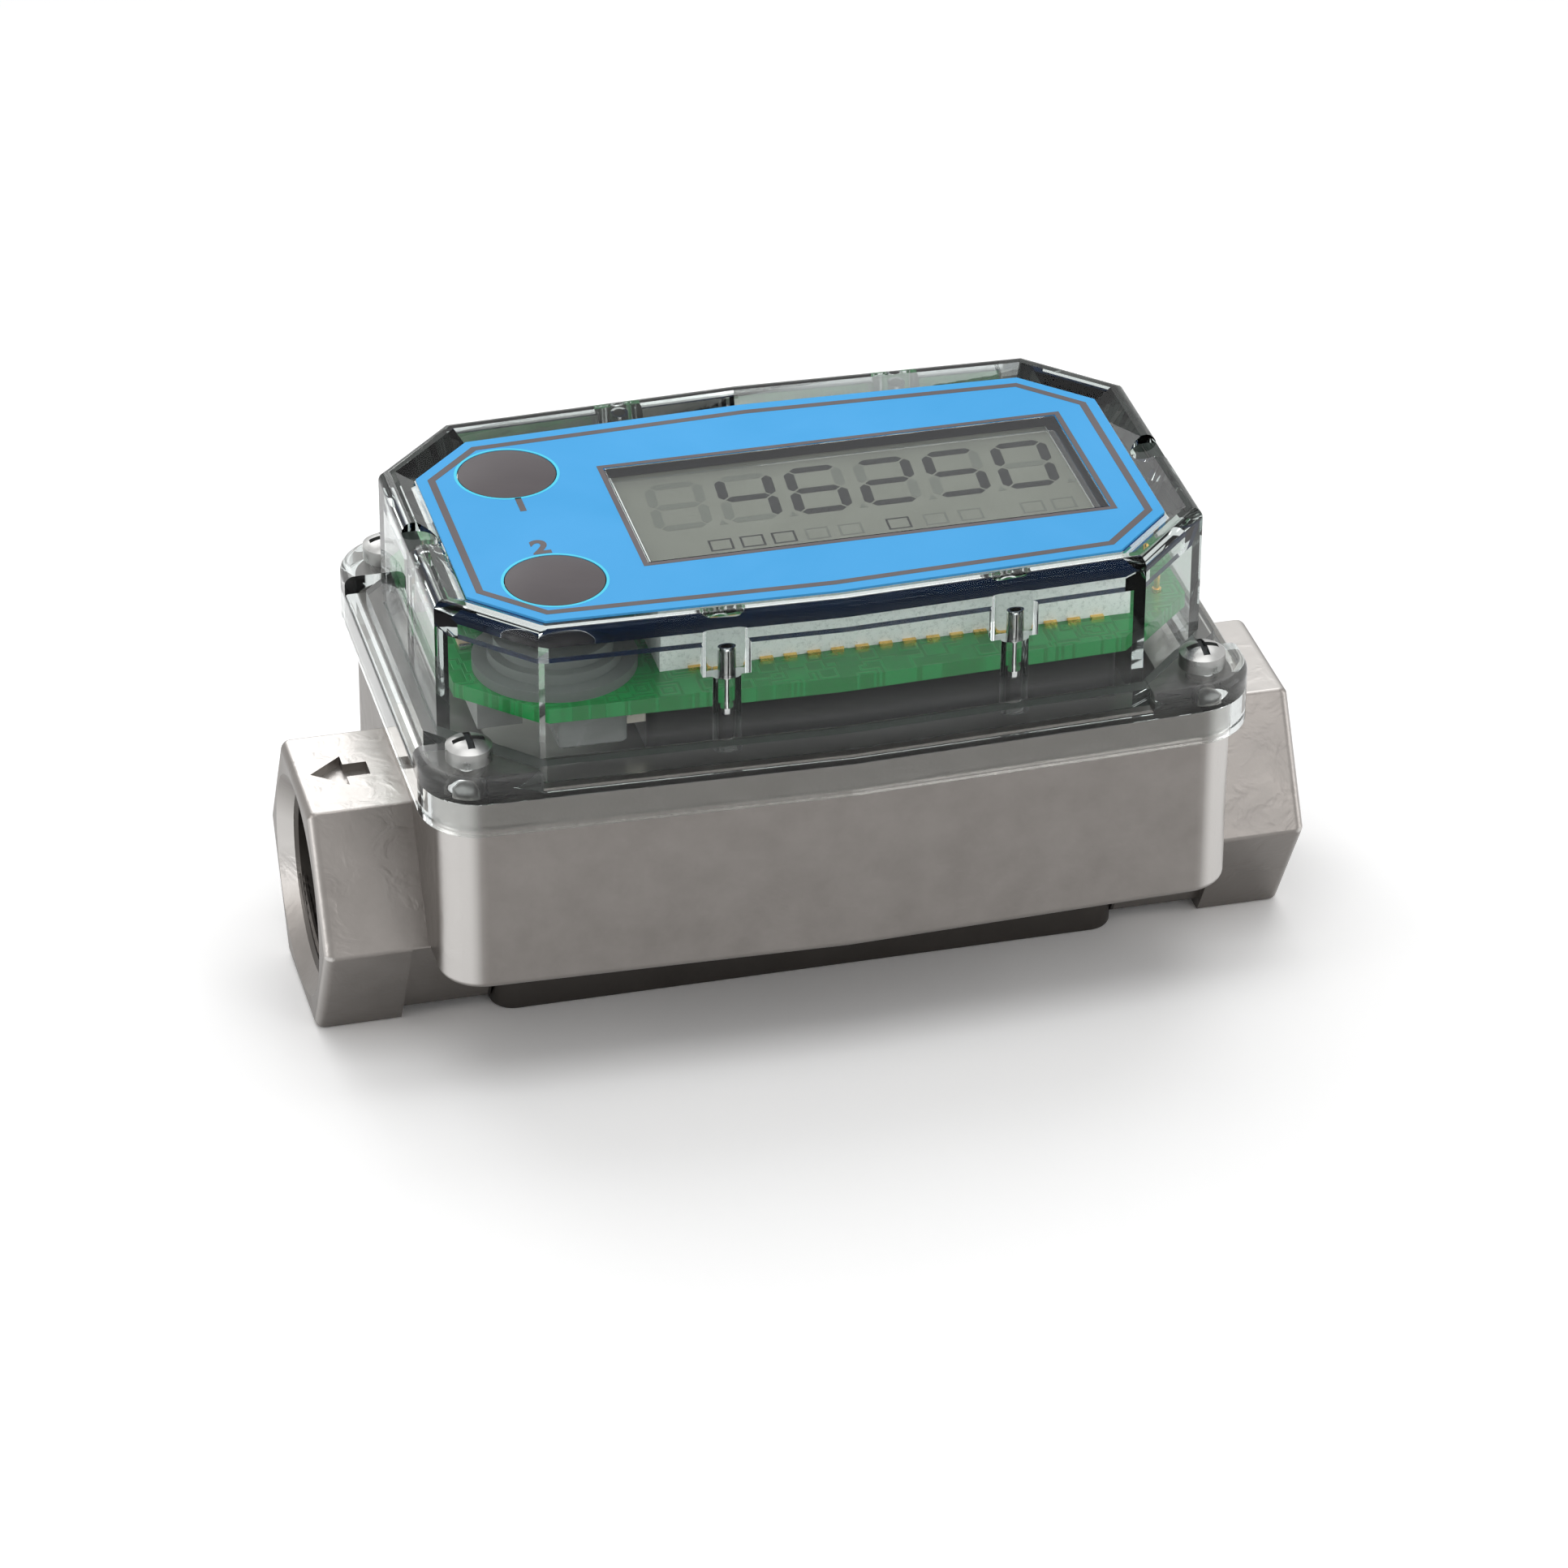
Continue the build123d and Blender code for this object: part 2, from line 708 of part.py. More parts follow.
# Display: pale frame, glass and the row of contacts along its front
frame_top = top_underside - frame_gap
glass_top = frame_top - glass_recess
glass_bottom = glass_top - glass_thickness
with BuildPart() as display_frame:
    with BuildSketch(Plane.XY.offset(board_top)):
        with Locations((window_centre_x, 0)):
            Rectangle(frame_length, frame_width)
            Rectangle(frame_length - 2 * frame_wall, frame_width - 2 * frame_wall, mode=Mode.SUBTRACT)
    extrude(amount=frame_top - board_top)
    with BuildSketch(Plane.XY.offset(glass_bottom)):
        with Locations((window_centre_x, 0)):
            Rectangle(frame_length - 2 * frame_rim, frame_width - 2 * frame_rim)
    extrude(amount=frame_top - glass_bottom, mode=Mode.SUBTRACT)
finish(display_frame, "display_frame")

with BuildPart() as display_glass:
    glass_inset = frame_rim + glass_clearance
    with BuildSketch(Plane.XY.offset(glass_bottom)):
        with Locations((window_centre_x, 0)):
            Rectangle(frame_length - 2 * glass_inset, frame_width - 2 * glass_inset)
    extrude(amount=glass_thickness)
finish(display_glass, "display_glass")

with BuildPart() as display_contacts:
    contact_y = -(frame_width + contact_length) / 2
    with BuildSketch(Plane.XY.offset(board_top)):
        with Locations((window_centre_x, contact_y)):
            with GridLocations(contact_pitch, 0, contact_count, 1):
                Rectangle(contact_width, contact_length)
    extrude(amount=contact_thickness)
finish(display_contacts, "display_contacts")

with BuildPart() as processor_chip:
    with BuildSketch(Plane.XY.offset(board_top)):
        with Locations((window_centre_x, 0)):
            Rectangle(chip_side, chip_side)
    extrude(amount=chip_thickness, taper=5)
finish(processor_chip, "processor_chip")

with BuildPart() as test_pin:
    with BuildSketch(Plane.XY.offset(board_top)):
        with Locations((test_pin_x, test_pin_y)):
            Circle(test_pin_collar_diameter / 2)
    extrude(amount=test_pin_collar_height)
    with BuildSketch(Plane.XY.offset(board_top + test_pin_collar_height)):
        with Locations((test_pin_x, test_pin_y)):
            Circle(test_pin_diameter / 2)
    extrude(amount=test_pin_height - test_pin_collar_height)
    chamfer(test_pin.faces().sort_by(Axis.Z)[-1].edges(), test_pin_diameter / 4)
finish(test_pin, "test_pin")

# Battery box under the board, with its cells and terminal strip
cell_places = [
    (battery_box_x - cell_spacing / 2, 0),
    (battery_box_x + cell_spacing / 2, 0),
]
cell_recess_top = battery_box_bottom + cell_recess_spare + cell_thickness
with BuildPart() as battery_box:
    with BuildSketch(Plane.XY.offset(battery_box_bottom)):
        with Locations((battery_box_x, 0)):
            RectangleRounded(battery_box_length, battery_box_width, battery_box_edge)
    extrude(amount=battery_box_height)
    with BuildSketch(Plane.XY.offset(battery_box_bottom)):
        with Locations(*cell_places):
            Circle(cell_diameter / 2 + cell_clearance)
    extrude(amount=cell_recess_top - battery_box_bottom, mode=Mode.SUBTRACT)
finish(battery_box, "battery_box")

with BuildPart() as battery_cells:
    with BuildSketch(Plane.XY.offset(cell_recess_top - cell_thickness)):
        with Locations(*cell_places):
            Circle(cell_diameter / 2)
    extrude(amount=cell_thickness)
finish(battery_cells, "battery_cells")

with BuildPart() as battery_clip:
    clip_x = battery_box_x - battery_box_length / 2 - clip_length / 2
    clip_front_y = battery_box_edge - battery_box_width / 2
    clip_centre = (clip_x, clip_front_y, board_bottom - clip_height / 2)
    with BuildSketch(Plane(origin=clip_centre, x_dir=(1, 0, 0), z_dir=(0, 1, 0))):
        Rectangle(clip_length, clip_height)
        SlotOverall(clip_slot_length, clip_slot_width, mode=Mode.SUBTRACT)
    extrude(amount=clip_thickness)
finish(battery_clip, "battery_clip")

# Pickup connector and sealed module under the board
with BuildPart() as pickup_connector:
    with BuildSketch(Plane.XY.offset(board_bottom - connector_height)):
        with Locations((connector_x, connector_y)):
            Rectangle(connector_length, connector_width)
    extrude(amount=connector_height)
    with BuildSketch(Plane.XY.offset(board_bottom - connector_height)):
        with Locations((connector_x, connector_y)):
            Rectangle(connector_length - 2 * connector_wall, connector_width - 2 * connector_wall)
    extrude(amount=connector_socket_depth, mode=Mode.SUBTRACT)
finish(pickup_connector, "pickup_connector")

with BuildPart() as signal_module:
    with BuildSketch(Plane.XY.offset(board_bottom - module_height)):
        with Locations((module_x, module_y)):
            RectangleRounded(module_length, module_width, module_edge)
    extrude(amount=module_height)
    chamfer(signal_module.faces().sort_by(Axis.Z)[0].edges(), module_edge / 2)
finish(signal_module, "signal_module")

# Pickup coil: bobbin with its winding
with BuildPart() as pickup_coil:
    with BuildSketch(Plane.XY.offset(well_floor)):
        Circle(coil_diameter / 2)
    extrude(amount=coil_flange_thickness)
    with BuildSketch(Plane.XY.offset(well_floor + coil_flange_thickness)):
        Circle(coil_winding_diameter / 2)
    extrude(amount=coil_height - 2 * coil_flange_thickness)
    with BuildSketch(Plane.XY.offset(well_floor + coil_height - coil_flange_thickness)):
        Circle(coil_diameter / 2)
    extrude(amount=coil_flange_thickness)
finish(pickup_coil, "pickup_coil")

# Rotor: hub with helical blades, which the liquid turns
with BuildPart() as blade:
    blade_reach = tip_radius - hub_radius + 2 * blade_root_depth
    for station in (-1, 0, 1):
        with BuildSketch(across_pipe(station * rotor_length / 2, station * blade_twist / 2)):
            with Locations((hub_radius - blade_root_depth + blade_reach / 2, 0)):
                Rectangle(blade_reach, blade_thickness)
    loft()

with BuildPart() as rotor:
    with BuildSketch(across_pipe(-rotor_length / 2)):
        Circle(hub_radius)
    extrude(amount=rotor_length)
    for index in range(blade_count):
        add(blade.part.rotate(pipe_axis, 360 * index / blade_count))
    with BuildSketch(across_pipe(-rotor_length / 2)):
        Circle(tip_radius)
    extrude(amount=rotor_length, mode=Mode.INTERSECT)
    with BuildSketch(across_pipe(-rotor_length / 2)):
        Circle(shaft_diameter / 2)
    extrude(amount=rotor_length, mode=Mode.SUBTRACT)
    for side in (0, 180):
        with BuildSketch(at_magnet(side)):
            Circle(magnet_diameter / 2)
        extrude(amount=magnet_length, mode=Mode.SUBTRACT)
finish(rotor, "rotor")

with BuildPart() as rotor_magnets:
    for side in (0, 180):
        with BuildSketch(at_magnet(side)):
            Circle(magnet_diameter / 2)
        extrude(amount=magnet_length)
    with BuildSketch(across_pipe(-rotor_length / 2)):
        Circle(hub_radius)
    extrude(amount=rotor_length, mode=Mode.INTERSECT)
finish(rotor_magnets, "rotor_magnets")

with BuildPart() as rotor_shaft:
    shaft_half_length = hub_face + bearing_bore_depth - shaft_end_gap
    with BuildSketch(across_pipe(-shaft_half_length)):
        Circle(shaft_diameter / 2)
    extrude(amount=2 * shaft_half_length)
finish(rotor_shaft, "rotor_shaft")

# Support on the inlet side: ring, vanes and hub with a rounded nose, and its bearing
support_end = seat_start + support_length
with BuildPart() as inlet_support:
    ring_radius = seat_radius - support_clearance
    with BuildSketch(across_pipe(seat_start)):
        Circle(ring_radius)
        Circle(ring_radius - support_ring_wall, mode=Mode.SUBTRACT)
    extrude(amount=support_length)
    with BuildSketch(along_pipe):
        nose_start = support_end - support_nose_length
        with BuildLine():
            Polyline((support_end, 0), (hub_face, 0), (hub_face, hub_radius), (nose_start, hub_radius))
            EllipticalCenterArc((nose_start, 0), support_nose_length, hub_radius, 0, arc_size=90)
        make_face()
    revolve(axis=pipe_axis)
    for index in range(vane_count):
        turn = 360 * index / vane_count
        vane_reach = (ring_radius - support_ring_wall / 2) - hub_radius / 2
        with BuildSketch(across_pipe(seat_start + vane_inset, turn)):
            with Locations((hub_radius / 2 + vane_reach / 2, 0)):
                Rectangle(vane_reach, vane_thickness)
        extrude(amount=vane_length)
    with BuildSketch(across_pipe(hub_face)):
        Circle(bearing_diameter / 2)
    extrude(amount=bearing_length, mode=Mode.SUBTRACT)
finish(inlet_support, "inlet_support")

with BuildPart() as inlet_bearing:
    with BuildSketch(across_pipe(hub_face)):
        Circle(bearing_diameter / 2)
    extrude(amount=bearing_length)
    with BuildSketch(across_pipe(hub_face)):
        Circle(shaft_diameter / 2 + shaft_running_clearance)
    extrude(amount=bearing_bore_depth, mode=Mode.SUBTRACT)
finish(inlet_bearing, "inlet_bearing")

with BuildPart() as inlet_ring:
    with BuildSketch(across_pipe(ring_start)):
        Circle(groove_radius - ring_radial_clearance)
        Circle(chamber_radius, mode=Mode.SUBTRACT)
        with Locations((0, -seat_radius)):
            Rectangle(ring_gap, seat_radius, mode=Mode.SUBTRACT)
    extrude(amount=ring_thickness)
finish(inlet_ring, "inlet_ring")

# The outlet side mirrors the inlet side
for piece, name in (
    (inlet_support, "outlet_support"),
    (inlet_bearing, "outlet_bearing"),
    (inlet_ring, "outlet_ring"),
):
    with BuildPart() as outlet_piece:
        add(piece.part.mirror(Plane.YZ))
    finish(outlet_piece, name)
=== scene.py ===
"""Looks of the half-inch turbine flow meter: finishes, printed face, display, threads and studio.

Lengths in the meter's classes are millimetres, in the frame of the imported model, and become metres
where a mesh is made. Lengths in the shader groups, the lamps and the floor are metres.
"""

import logging
import math
from dataclasses import dataclass
from enum import Enum
from typing import ClassVar

import bmesh
import bpy
from mathutils import Matrix, Vector


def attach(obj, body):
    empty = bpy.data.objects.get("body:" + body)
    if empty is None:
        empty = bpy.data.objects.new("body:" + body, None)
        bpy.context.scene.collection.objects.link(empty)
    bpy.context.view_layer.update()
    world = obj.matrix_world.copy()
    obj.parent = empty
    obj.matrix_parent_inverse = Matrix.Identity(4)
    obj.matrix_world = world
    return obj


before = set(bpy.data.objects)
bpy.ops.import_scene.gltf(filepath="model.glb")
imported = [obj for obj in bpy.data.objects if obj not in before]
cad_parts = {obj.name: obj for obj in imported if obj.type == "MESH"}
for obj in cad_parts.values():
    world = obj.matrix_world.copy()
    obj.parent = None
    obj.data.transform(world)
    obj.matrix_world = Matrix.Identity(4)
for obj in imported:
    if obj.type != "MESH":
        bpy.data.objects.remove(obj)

MM = 0.001
HOUSING = "housing"
PHOTO_SIDE = 1932.0

# How far a print reaches down into the surface that carries it, in millimetres.
PRINT_SINK = 0.01

# The values of a soft noise that count as its low and its high end.
CLOUD_RANGE = (0.3, 0.7)
FLOW_RANGE = (0.35, 0.65)

Socket = bpy.types.NodeSocket
Colour = tuple[float, float, float]
Tone = Colour | Socket
Point = tuple[float, float]

log = logging.getLogger("flow_meter")


class Flow(Enum):
    """Which end of the meter a piece belongs to, as the sign of its X."""

    INLET = 1
    OUTLET = -1


class Segment(Enum):
    """The seven bars of a display digit."""

    TOP = "a"
    UPPER_RIGHT = "b"
    LOWER_RIGHT = "c"
    BOTTOM = "d"
    LOWER_LEFT = "e"
    UPPER_LEFT = "f"
    MIDDLE = "g"


DIGIT_BARS: dict[str, str] = {
    " ": "",
    "0": "abcdef",
    "1": "bc",
    "2": "abged",
    "4": "fgbc",
    "5": "afgcd",
    "6": "afgedc",
    "8": "abcdefg",
}


def seen_as(red: int, green: int, blue: int) -> Colour:
    """Turns a display colour into the linear colour that shaders work in.

    Args:
        red: Red from 0 to 255.
        green: Green from 0 to 255.
        blue: Blue from 0 to 255.

    Returns:
        The linear red, green and blue.
    """
    made = []
    for value in (red, green, blue):
        share = value / 255.0
        made.append(share / 12.92 if share <= 0.04045 else ((share + 0.055) / 1.055) ** 2.4)
    return made[0], made[1], made[2]


# Shader node groups


class NodeSheet:
    """Adds nodes to one shader tree, sets their constants and joins their sockets."""

    def __init__(self, tree: bpy.types.NodeTree) -> None:
        """Keeps the tree that the nodes go into."""
        self.tree = tree

    def add(self, kind: str, inputs: dict[str, object] | None = None, **settings: object) -> bpy.types.Node:
        """Adds one node.

        Args:
            kind: Blender's type name of the node.
            inputs: Values or leading sockets for its inputs, by socket name.
            **settings: Properties of the node itself.

        Returns:
            The new node.
        """
        node = self.tree.nodes.new(kind)
        for name, value in settings.items():
            setattr(node, name, value)
        for name, value in (inputs or {}).items():
            self.feed(node.inputs[name], value)
        return node

    def feed(self, target: Socket, value: object) -> None:
        """Leads a socket into an input, or sets the input to a value, with alpha 1 for a bare colour.

        Args:
            target: The input socket.
            value: A number, vector or linear colour, or the output socket to lead in.
        """
        if isinstance(value, Socket):
            self.tree.links.new(value, target)
        elif target.type == "RGBA":
            target.default_value = (*value, 1.0)
        else:
            target.default_value = value

    def maths(self, operation: str, first: Socket, second: Socket | float | None = None) -> Socket:
        """Works out one value from one or two others.

        Args:
            operation: Blender's name of the operation.
            first: First value.
            second: Second value, where the operation takes one.

        Returns:
            The result.
        """
        node = self.add("ShaderNodeMath", operation=operation)
        self.feed(node.inputs[0], first)
        if second is not None:
            self.feed(node.inputs[1], second)
        return node.outputs["Value"]

    def object_place(self, stretch: tuple[float, float, float] = (1.0, 1.0, 1.0)) -> Socket:
        """Gives the place on the object, stretched along its axes.

        Args:
            stretch: Factor along X, Y and Z.

        Returns:
            The vector output to feed a texture with.
        """
        place = self.add("ShaderNodeTexCoord").outputs["Object"]
        return self.add("ShaderNodeMapping", {"Vector": place, "Scale": stretch}).outputs["Vector"]

    def length_of(self, vector: Socket) -> Socket:
        """Gives the length of a vector.

        Args:
            vector: The vector.

        Returns:
            Its length.
        """
        node = self.add("ShaderNodeVectorMath", operation="LENGTH")
        self.feed(node.inputs[0], vector)
        return node.outputs["Value"]

    def parts_of(self, vector: Socket) -> tuple[Socket, Socket, Socket]:
        """Splits a vector into its X, Y and Z."""
        split = self.add("ShaderNodeSeparateXYZ", {"Vector": vector})
        return split.outputs["X"], split.outputs["Y"], split.outputs["Z"]

    def noise(self, place: Socket, scale: Socket | float, **shape: float) -> Socket:
        """Makes a soft noise from 0 to 1.

        Args:
            place: Where on the object it is read.
            scale: How fine it is.
            **shape: Detail, Roughness or Distortion, where not Blender's own.

        Returns:
            The noise.
        """
        return self.add("ShaderNodeTexNoise", {"Vector": place, "Scale": scale, **shape}).outputs["Fac"]

    def spread(
        self,
        source: Socket,
        low: Socket | float,
        high: Socket | float,
        out_low: float = 0.0,
        out_high: float = 1.0,
        curve: str = "LINEAR",
    ) -> Socket:
        """Maps a value from one range to another, held at its ends.

        Args:
            source: The value to map.
            low: Lowest value that counts.
            high: Highest value that counts.
            out_low: Result at low.
            out_high: Result at high.
            curve: Blender's name of the curve between the ends.

        Returns:
            The mapped value.
        """
        inputs = {"Value": source, "From Min": low, "From Max": high, "To Min": out_low, "To Max": out_high}
        return self.add("ShaderNodeMapRange", inputs, interpolation_type=curve).outputs["Result"]

    def blend(self, share: Socket, first: Tone, second: Tone) -> Socket:
        """Mixes two colours by a share.

        Args:
            share: How much of the second colour shows, from 0 to 1.
            first: Linear colour, or the socket that gives it, where the share is 0.
            second: The same where the share is 1.

        Returns:
            The mixed colour.
        """
        mix = self.add("ShaderNodeMix", data_type="RGBA")
        low, high = [socket for socket in mix.inputs if socket.type == "RGBA"]
        self.feed(mix.inputs[0], share)
        self.feed(low, first)
        self.feed(high, second)
        return next(out for out in mix.outputs if out.type == "RGBA")


def start_group(name: str, inputs: dict[str, float], outputs: list[str]) -> tuple[NodeSheet, dict, dict]:
    """Starts a shader node group with named value sockets.

    Args:
        name: Name of the group.
        inputs: Its inputs with the value that each has by itself.
        outputs: Its outputs.

    Returns:
        The sheet to build on, the input sockets and the output sockets, by name.
    """
    tree = bpy.data.node_groups.new(name, "ShaderNodeTree")
    for title, value in inputs.items():
        socket = tree.interface.new_socket(title, in_out="INPUT", socket_type="NodeSocketFloat")
        socket.default_value = value
    for title in outputs:
        tree.interface.new_socket(title, in_out="OUTPUT", socket_type="NodeSocketFloat")
    sheet = NodeSheet(tree)
    entry = sheet.add("NodeGroupInput")
    exit_node = sheet.add("NodeGroupOutput")
    given = {title: entry.outputs[title] for title in inputs}
    wanted = {title: exit_node.inputs[title] for title in outputs}
    return sheet, given, wanted


def cast_skin_group() -> bpy.types.NodeTree:
    """Builds the skin of an investment casting: worm-like ridges on the ports, fine pits and a mottle.

    Returns:
        The group, with outputs Height and Mottle.
    """
    inputs = {"Ridge Scale": 260.0, "Pit Scale": 1700.0, "Mottle Scale": 210.0, "Port Start": 0.0385}
    sheet, given, wanted = start_group("cast_skin", inputs, ["Height", "Mottle"])
    place = sheet.object_place()
    warp = sheet.noise(place, given["Ridge Scale"], Detail=3.0, Roughness=0.55, Distortion=0.7)
    ridge_band = (0.46, 0.62)
    ridges = sheet.spread(warp, *ridge_band)
    pits = sheet.noise(place, given["Pit Scale"], Detail=2.0, Roughness=0.5)
    along = sheet.parts_of(place)[0]
    on_port = sheet.maths("GREATER_THAN", sheet.maths("ABSOLUTE", along), given["Port Start"])
    share_off_and_on_port = (0.08, 0.75)
    height = sheet.add("ShaderNodeMix", data_type="FLOAT")
    sheet.feed(height.inputs["Factor"], sheet.spread(on_port, 0.0, 1.0, *share_off_and_on_port))
    sheet.feed(height.inputs["A"], pits)
    sheet.feed(height.inputs["B"], ridges)
    sheet.feed(wanted["Height"], height.outputs["Result"])
    sheet.feed(wanted["Mottle"], sheet.noise(place, given["Mottle Scale"], Detail=4.0, Roughness=0.6))
    return sheet.tree


def painted_corner_light_group() -> bpy.types.NodeTree:
    """Builds masks of the casting's upright rounded corners, which get a painted highlight, and its level
    tops, which get a painted lighter tone.

    Returns:
        The group, with outputs Corner and Top.
    """
    inputs = {"Start": 0.10, "Full": 0.42}
    sheet, given, wanted = start_group("painted_corner_light", inputs, ["Corner", "Top"])
    facing = sheet.add("ShaderNodeNewGeometry").outputs["Normal"]
    turned = sheet.add(
        "ShaderNodeVectorTransform", {"Vector": facing}, vector_type="NORMAL", convert_to="OBJECT"
    )
    along, across, up = sheet.parts_of(turned.outputs["Vector"])
    slant = sheet.maths("ABSOLUTE", sheet.maths("MULTIPLY", along, across))
    rounded = sheet.spread(slant, given["Start"], given["Full"], curve="SMOOTHSTEP")
    upright_band = (0.1, 0.5)
    level_band = (0.8, 0.97)
    upright = sheet.spread(sheet.maths("ABSOLUTE", up), *upright_band, 1.0, 0.0)
    sheet.feed(wanted["Corner"], sheet.maths("MULTIPLY", rounded, upright))
    sheet.feed(wanted["Top"], sheet.spread(up, *level_band))
    return sheet.tree


def bore_shade_group() -> bpy.types.NodeTree:
    """Builds masks of the wetted bore along the pipe and of the foot strip, which get painted shade.

    Returns:
        The group, with outputs Bore and Foot.
    """
    inputs = {"Pipe Height": 0.0127, "Bore Radius": 0.0098, "Foot Top": 0.0038, "Foot Reach": 0.0330}
    sheet, given, wanted = start_group("bore_shade", inputs, ["Bore", "Foot"])
    along, across, up = sheet.parts_of(sheet.object_place())
    above = sheet.maths("SUBTRACT", up, given["Pipe Height"])
    offset = sheet.add("ShaderNodeCombineXYZ", {"X": across, "Y": above})
    radius = sheet.length_of(offset.outputs["Vector"])
    sheet.feed(wanted["Bore"], sheet.maths("LESS_THAN", radius, given["Bore Radius"]))
    low = sheet.maths("LESS_THAN", up, given["Foot Top"])
    within = sheet.maths("LESS_THAN", sheet.maths("ABSOLUTE", along), given["Foot Reach"])
    sheet.feed(wanted["Foot"], sheet.maths("MULTIPLY", low, within))
    return sheet.tree


def moulded_grain_group() -> bpy.types.NodeTree:
    """Builds the fine spark grain and faint flow marks of moulded plastic or rubber.

    Returns:
        The group, with outputs Height and Tone.
    """
    inputs = {"Grain Scale": 4000.0, "Flow Scale": 160.0}
    sheet, given, wanted = start_group("moulded_grain", inputs, ["Height", "Tone"])
    place = sheet.object_place()
    sheet.feed(wanted["Height"], sheet.noise(place, given["Grain Scale"], Detail=2.0, Roughness=0.7))
    sheet.feed(wanted["Tone"], sheet.noise(place, given["Flow Scale"], Detail=4.0, Distortion=0.8))
    return sheet.tree


def turned_lines_group() -> bpy.types.NodeTree:
    """Builds the fine rings that turning or drawing leaves on small metal pieces.

    Returns:
        The group, with outputs Height and Tone.
    """
    inputs = {"Line Scale": 1.0, "Cloud Scale": 500.0}
    sheet, given, wanted = start_group("turned_lines", inputs, ["Height", "Tone"])
    lines_per_metre = (300.0, 300.0, 9000.0)
    lines = sheet.noise(sheet.object_place(lines_per_metre), given["Line Scale"], Detail=2.0)
    sheet.feed(wanted["Height"], lines)
    sheet.feed(wanted["Tone"], sheet.noise(sheet.object_place(), given["Cloud Scale"], Detail=4.0))
    return sheet.tree


def speckle_group() -> bpy.types.NodeTree:
    """Builds small grey specks scattered over a pale surface.

    Returns:
        The group, with output Speck.
    """
    inputs = {"Speck Scale": 2600.0, "Spread": 0.5, "Full": 0.72}
    sheet, given, wanted = start_group("speckle", inputs, ["Speck"])
    specks = sheet.noise(sheet.object_place(), given["Speck Scale"], Detail=3.0, Roughness=0.8)
    sheet.feed(wanted["Speck"], sheet.spread(specks, given["Spread"], given["Full"]))
    return sheet.tree


def copper_run_group() -> bpy.types.NodeTree:
    """Builds the raised copper runs that show under the lacquer of a circuit board.

    Returns:
        The group, with output Run.
    """
    inputs = {"Pitch Scale": 420.0, "Run Spacing": 0.12}
    sheet, given, wanted = start_group("copper_runs", inputs, ["Run"])
    place = sheet.object_place((1.0, 1.0, 0.0))
    cells = sheet.add(
        "ShaderNodeTexVoronoi",
        {"Vector": place, "Scale": given["Pitch Scale"]},
        distance="CHEBYCHEV",
        feature="F1",
    )
    runs = sheet.maths("PINGPONG", cells.outputs["Distance"], given["Run Spacing"])
    edge_band = (0.05, 0.07)
    sheet.feed(wanted["Run"], sheet.spread(runs, *edge_band))
    return sheet.tree


def flange_haze_group() -> bpy.types.NodeTree:
    """Builds a mask of the cover's ledge and flange, where handling leaves a film.

    Returns:
        The group, with output Haze.
    """
    inputs = {"Clear Below": 0.0346, "Full From": 0.0362, "Full To": 0.0385, "Clear Above": 0.0405}
    sheet, given, wanted = start_group("flange_haze", inputs, ["Haze"])
    up = sheet.parts_of(sheet.object_place())[2]
    fade = sheet.spread(up, given["Full To"], given["Clear Above"], 1.0, 0.0)
    rise = sheet.spread(up, given["Clear Below"], given["Full From"])
    sheet.feed(wanted["Haze"], sheet.maths("MULTIPLY", fade, rise))
    return sheet.tree


class Effects:
    """The shared node groups, each built at its first use."""

    makers = {
        "cast_skin": cast_skin_group,
        "painted_corner_light": painted_corner_light_group,
        "bore_shade": bore_shade_group,
        "moulded_grain": moulded_grain_group,
        "turned_lines": turned_lines_group,
        "speckle": speckle_group,
        "copper_runs": copper_run_group,
        "flange_haze": flange_haze_group,
    }
    built: dict[str, bpy.types.NodeTree] = {}

    @classmethod
    def place(cls, sheet: NodeSheet, name: str, **values: float) -> bpy.types.Node:
        """Places a shared effect in a material with values of its own.

        Args:
            sheet: The material's sheet.
            name: Name of the effect.
            **values: Values for its inputs, with an underscore for each space.

        Returns:
            The group node.
        """
        if name not in cls.built:
            cls.built[name] = cls.makers[name]()
        node = sheet.add("ShaderNodeGroup", node_tree=cls.built[name])
        for title, value in values.items():
            node.inputs[title.replace("_", " ").title()].default_value = value
        return node


# Finishes


@dataclass(frozen=True)
class Finish:
    """A surface finish that can be made into a material."""

    name: str

    def start(self, constants: dict[str, object]) -> tuple[bpy.types.Material, NodeSheet, bpy.types.Node]:
        """Makes an empty material with its surface shader.

        Args:
            constants: Values that are the same all over the surface, by the shader's socket names.

        Returns:
            The material, its sheet and its Principled shader.
        """
        material = bpy.data.materials.new(self.name)
        material.use_nodes = True
        material.node_tree.nodes.clear()
        sheet = NodeSheet(material.node_tree)
        shader = sheet.add("ShaderNodeBsdfPrincipled", constants)
        sheet.add("ShaderNodeOutputMaterial", {"Surface": shader.outputs["BSDF"]})
        return material, sheet, shader

    def raise_surface(self, sheet: NodeSheet, shader: bpy.types.Node, height: Socket, depth: float) -> None:
        """Lets a height stand up from the surface as a bump.

        Args:
            sheet: The material's sheet.
            shader: Its Principled shader.
            height: Height from 0 to 1.
            depth: How far 1 stands up, in millimetres.
        """
        bump = sheet.add("ShaderNodeBump", {"Strength": 1.0, "Distance": depth * MM, "Height": height})
        sheet.feed(shader.inputs["Normal"], bump.outputs["Normal"])

    def make(self) -> bpy.types.Material:
        """Makes the material."""
        return self.start({})[0]


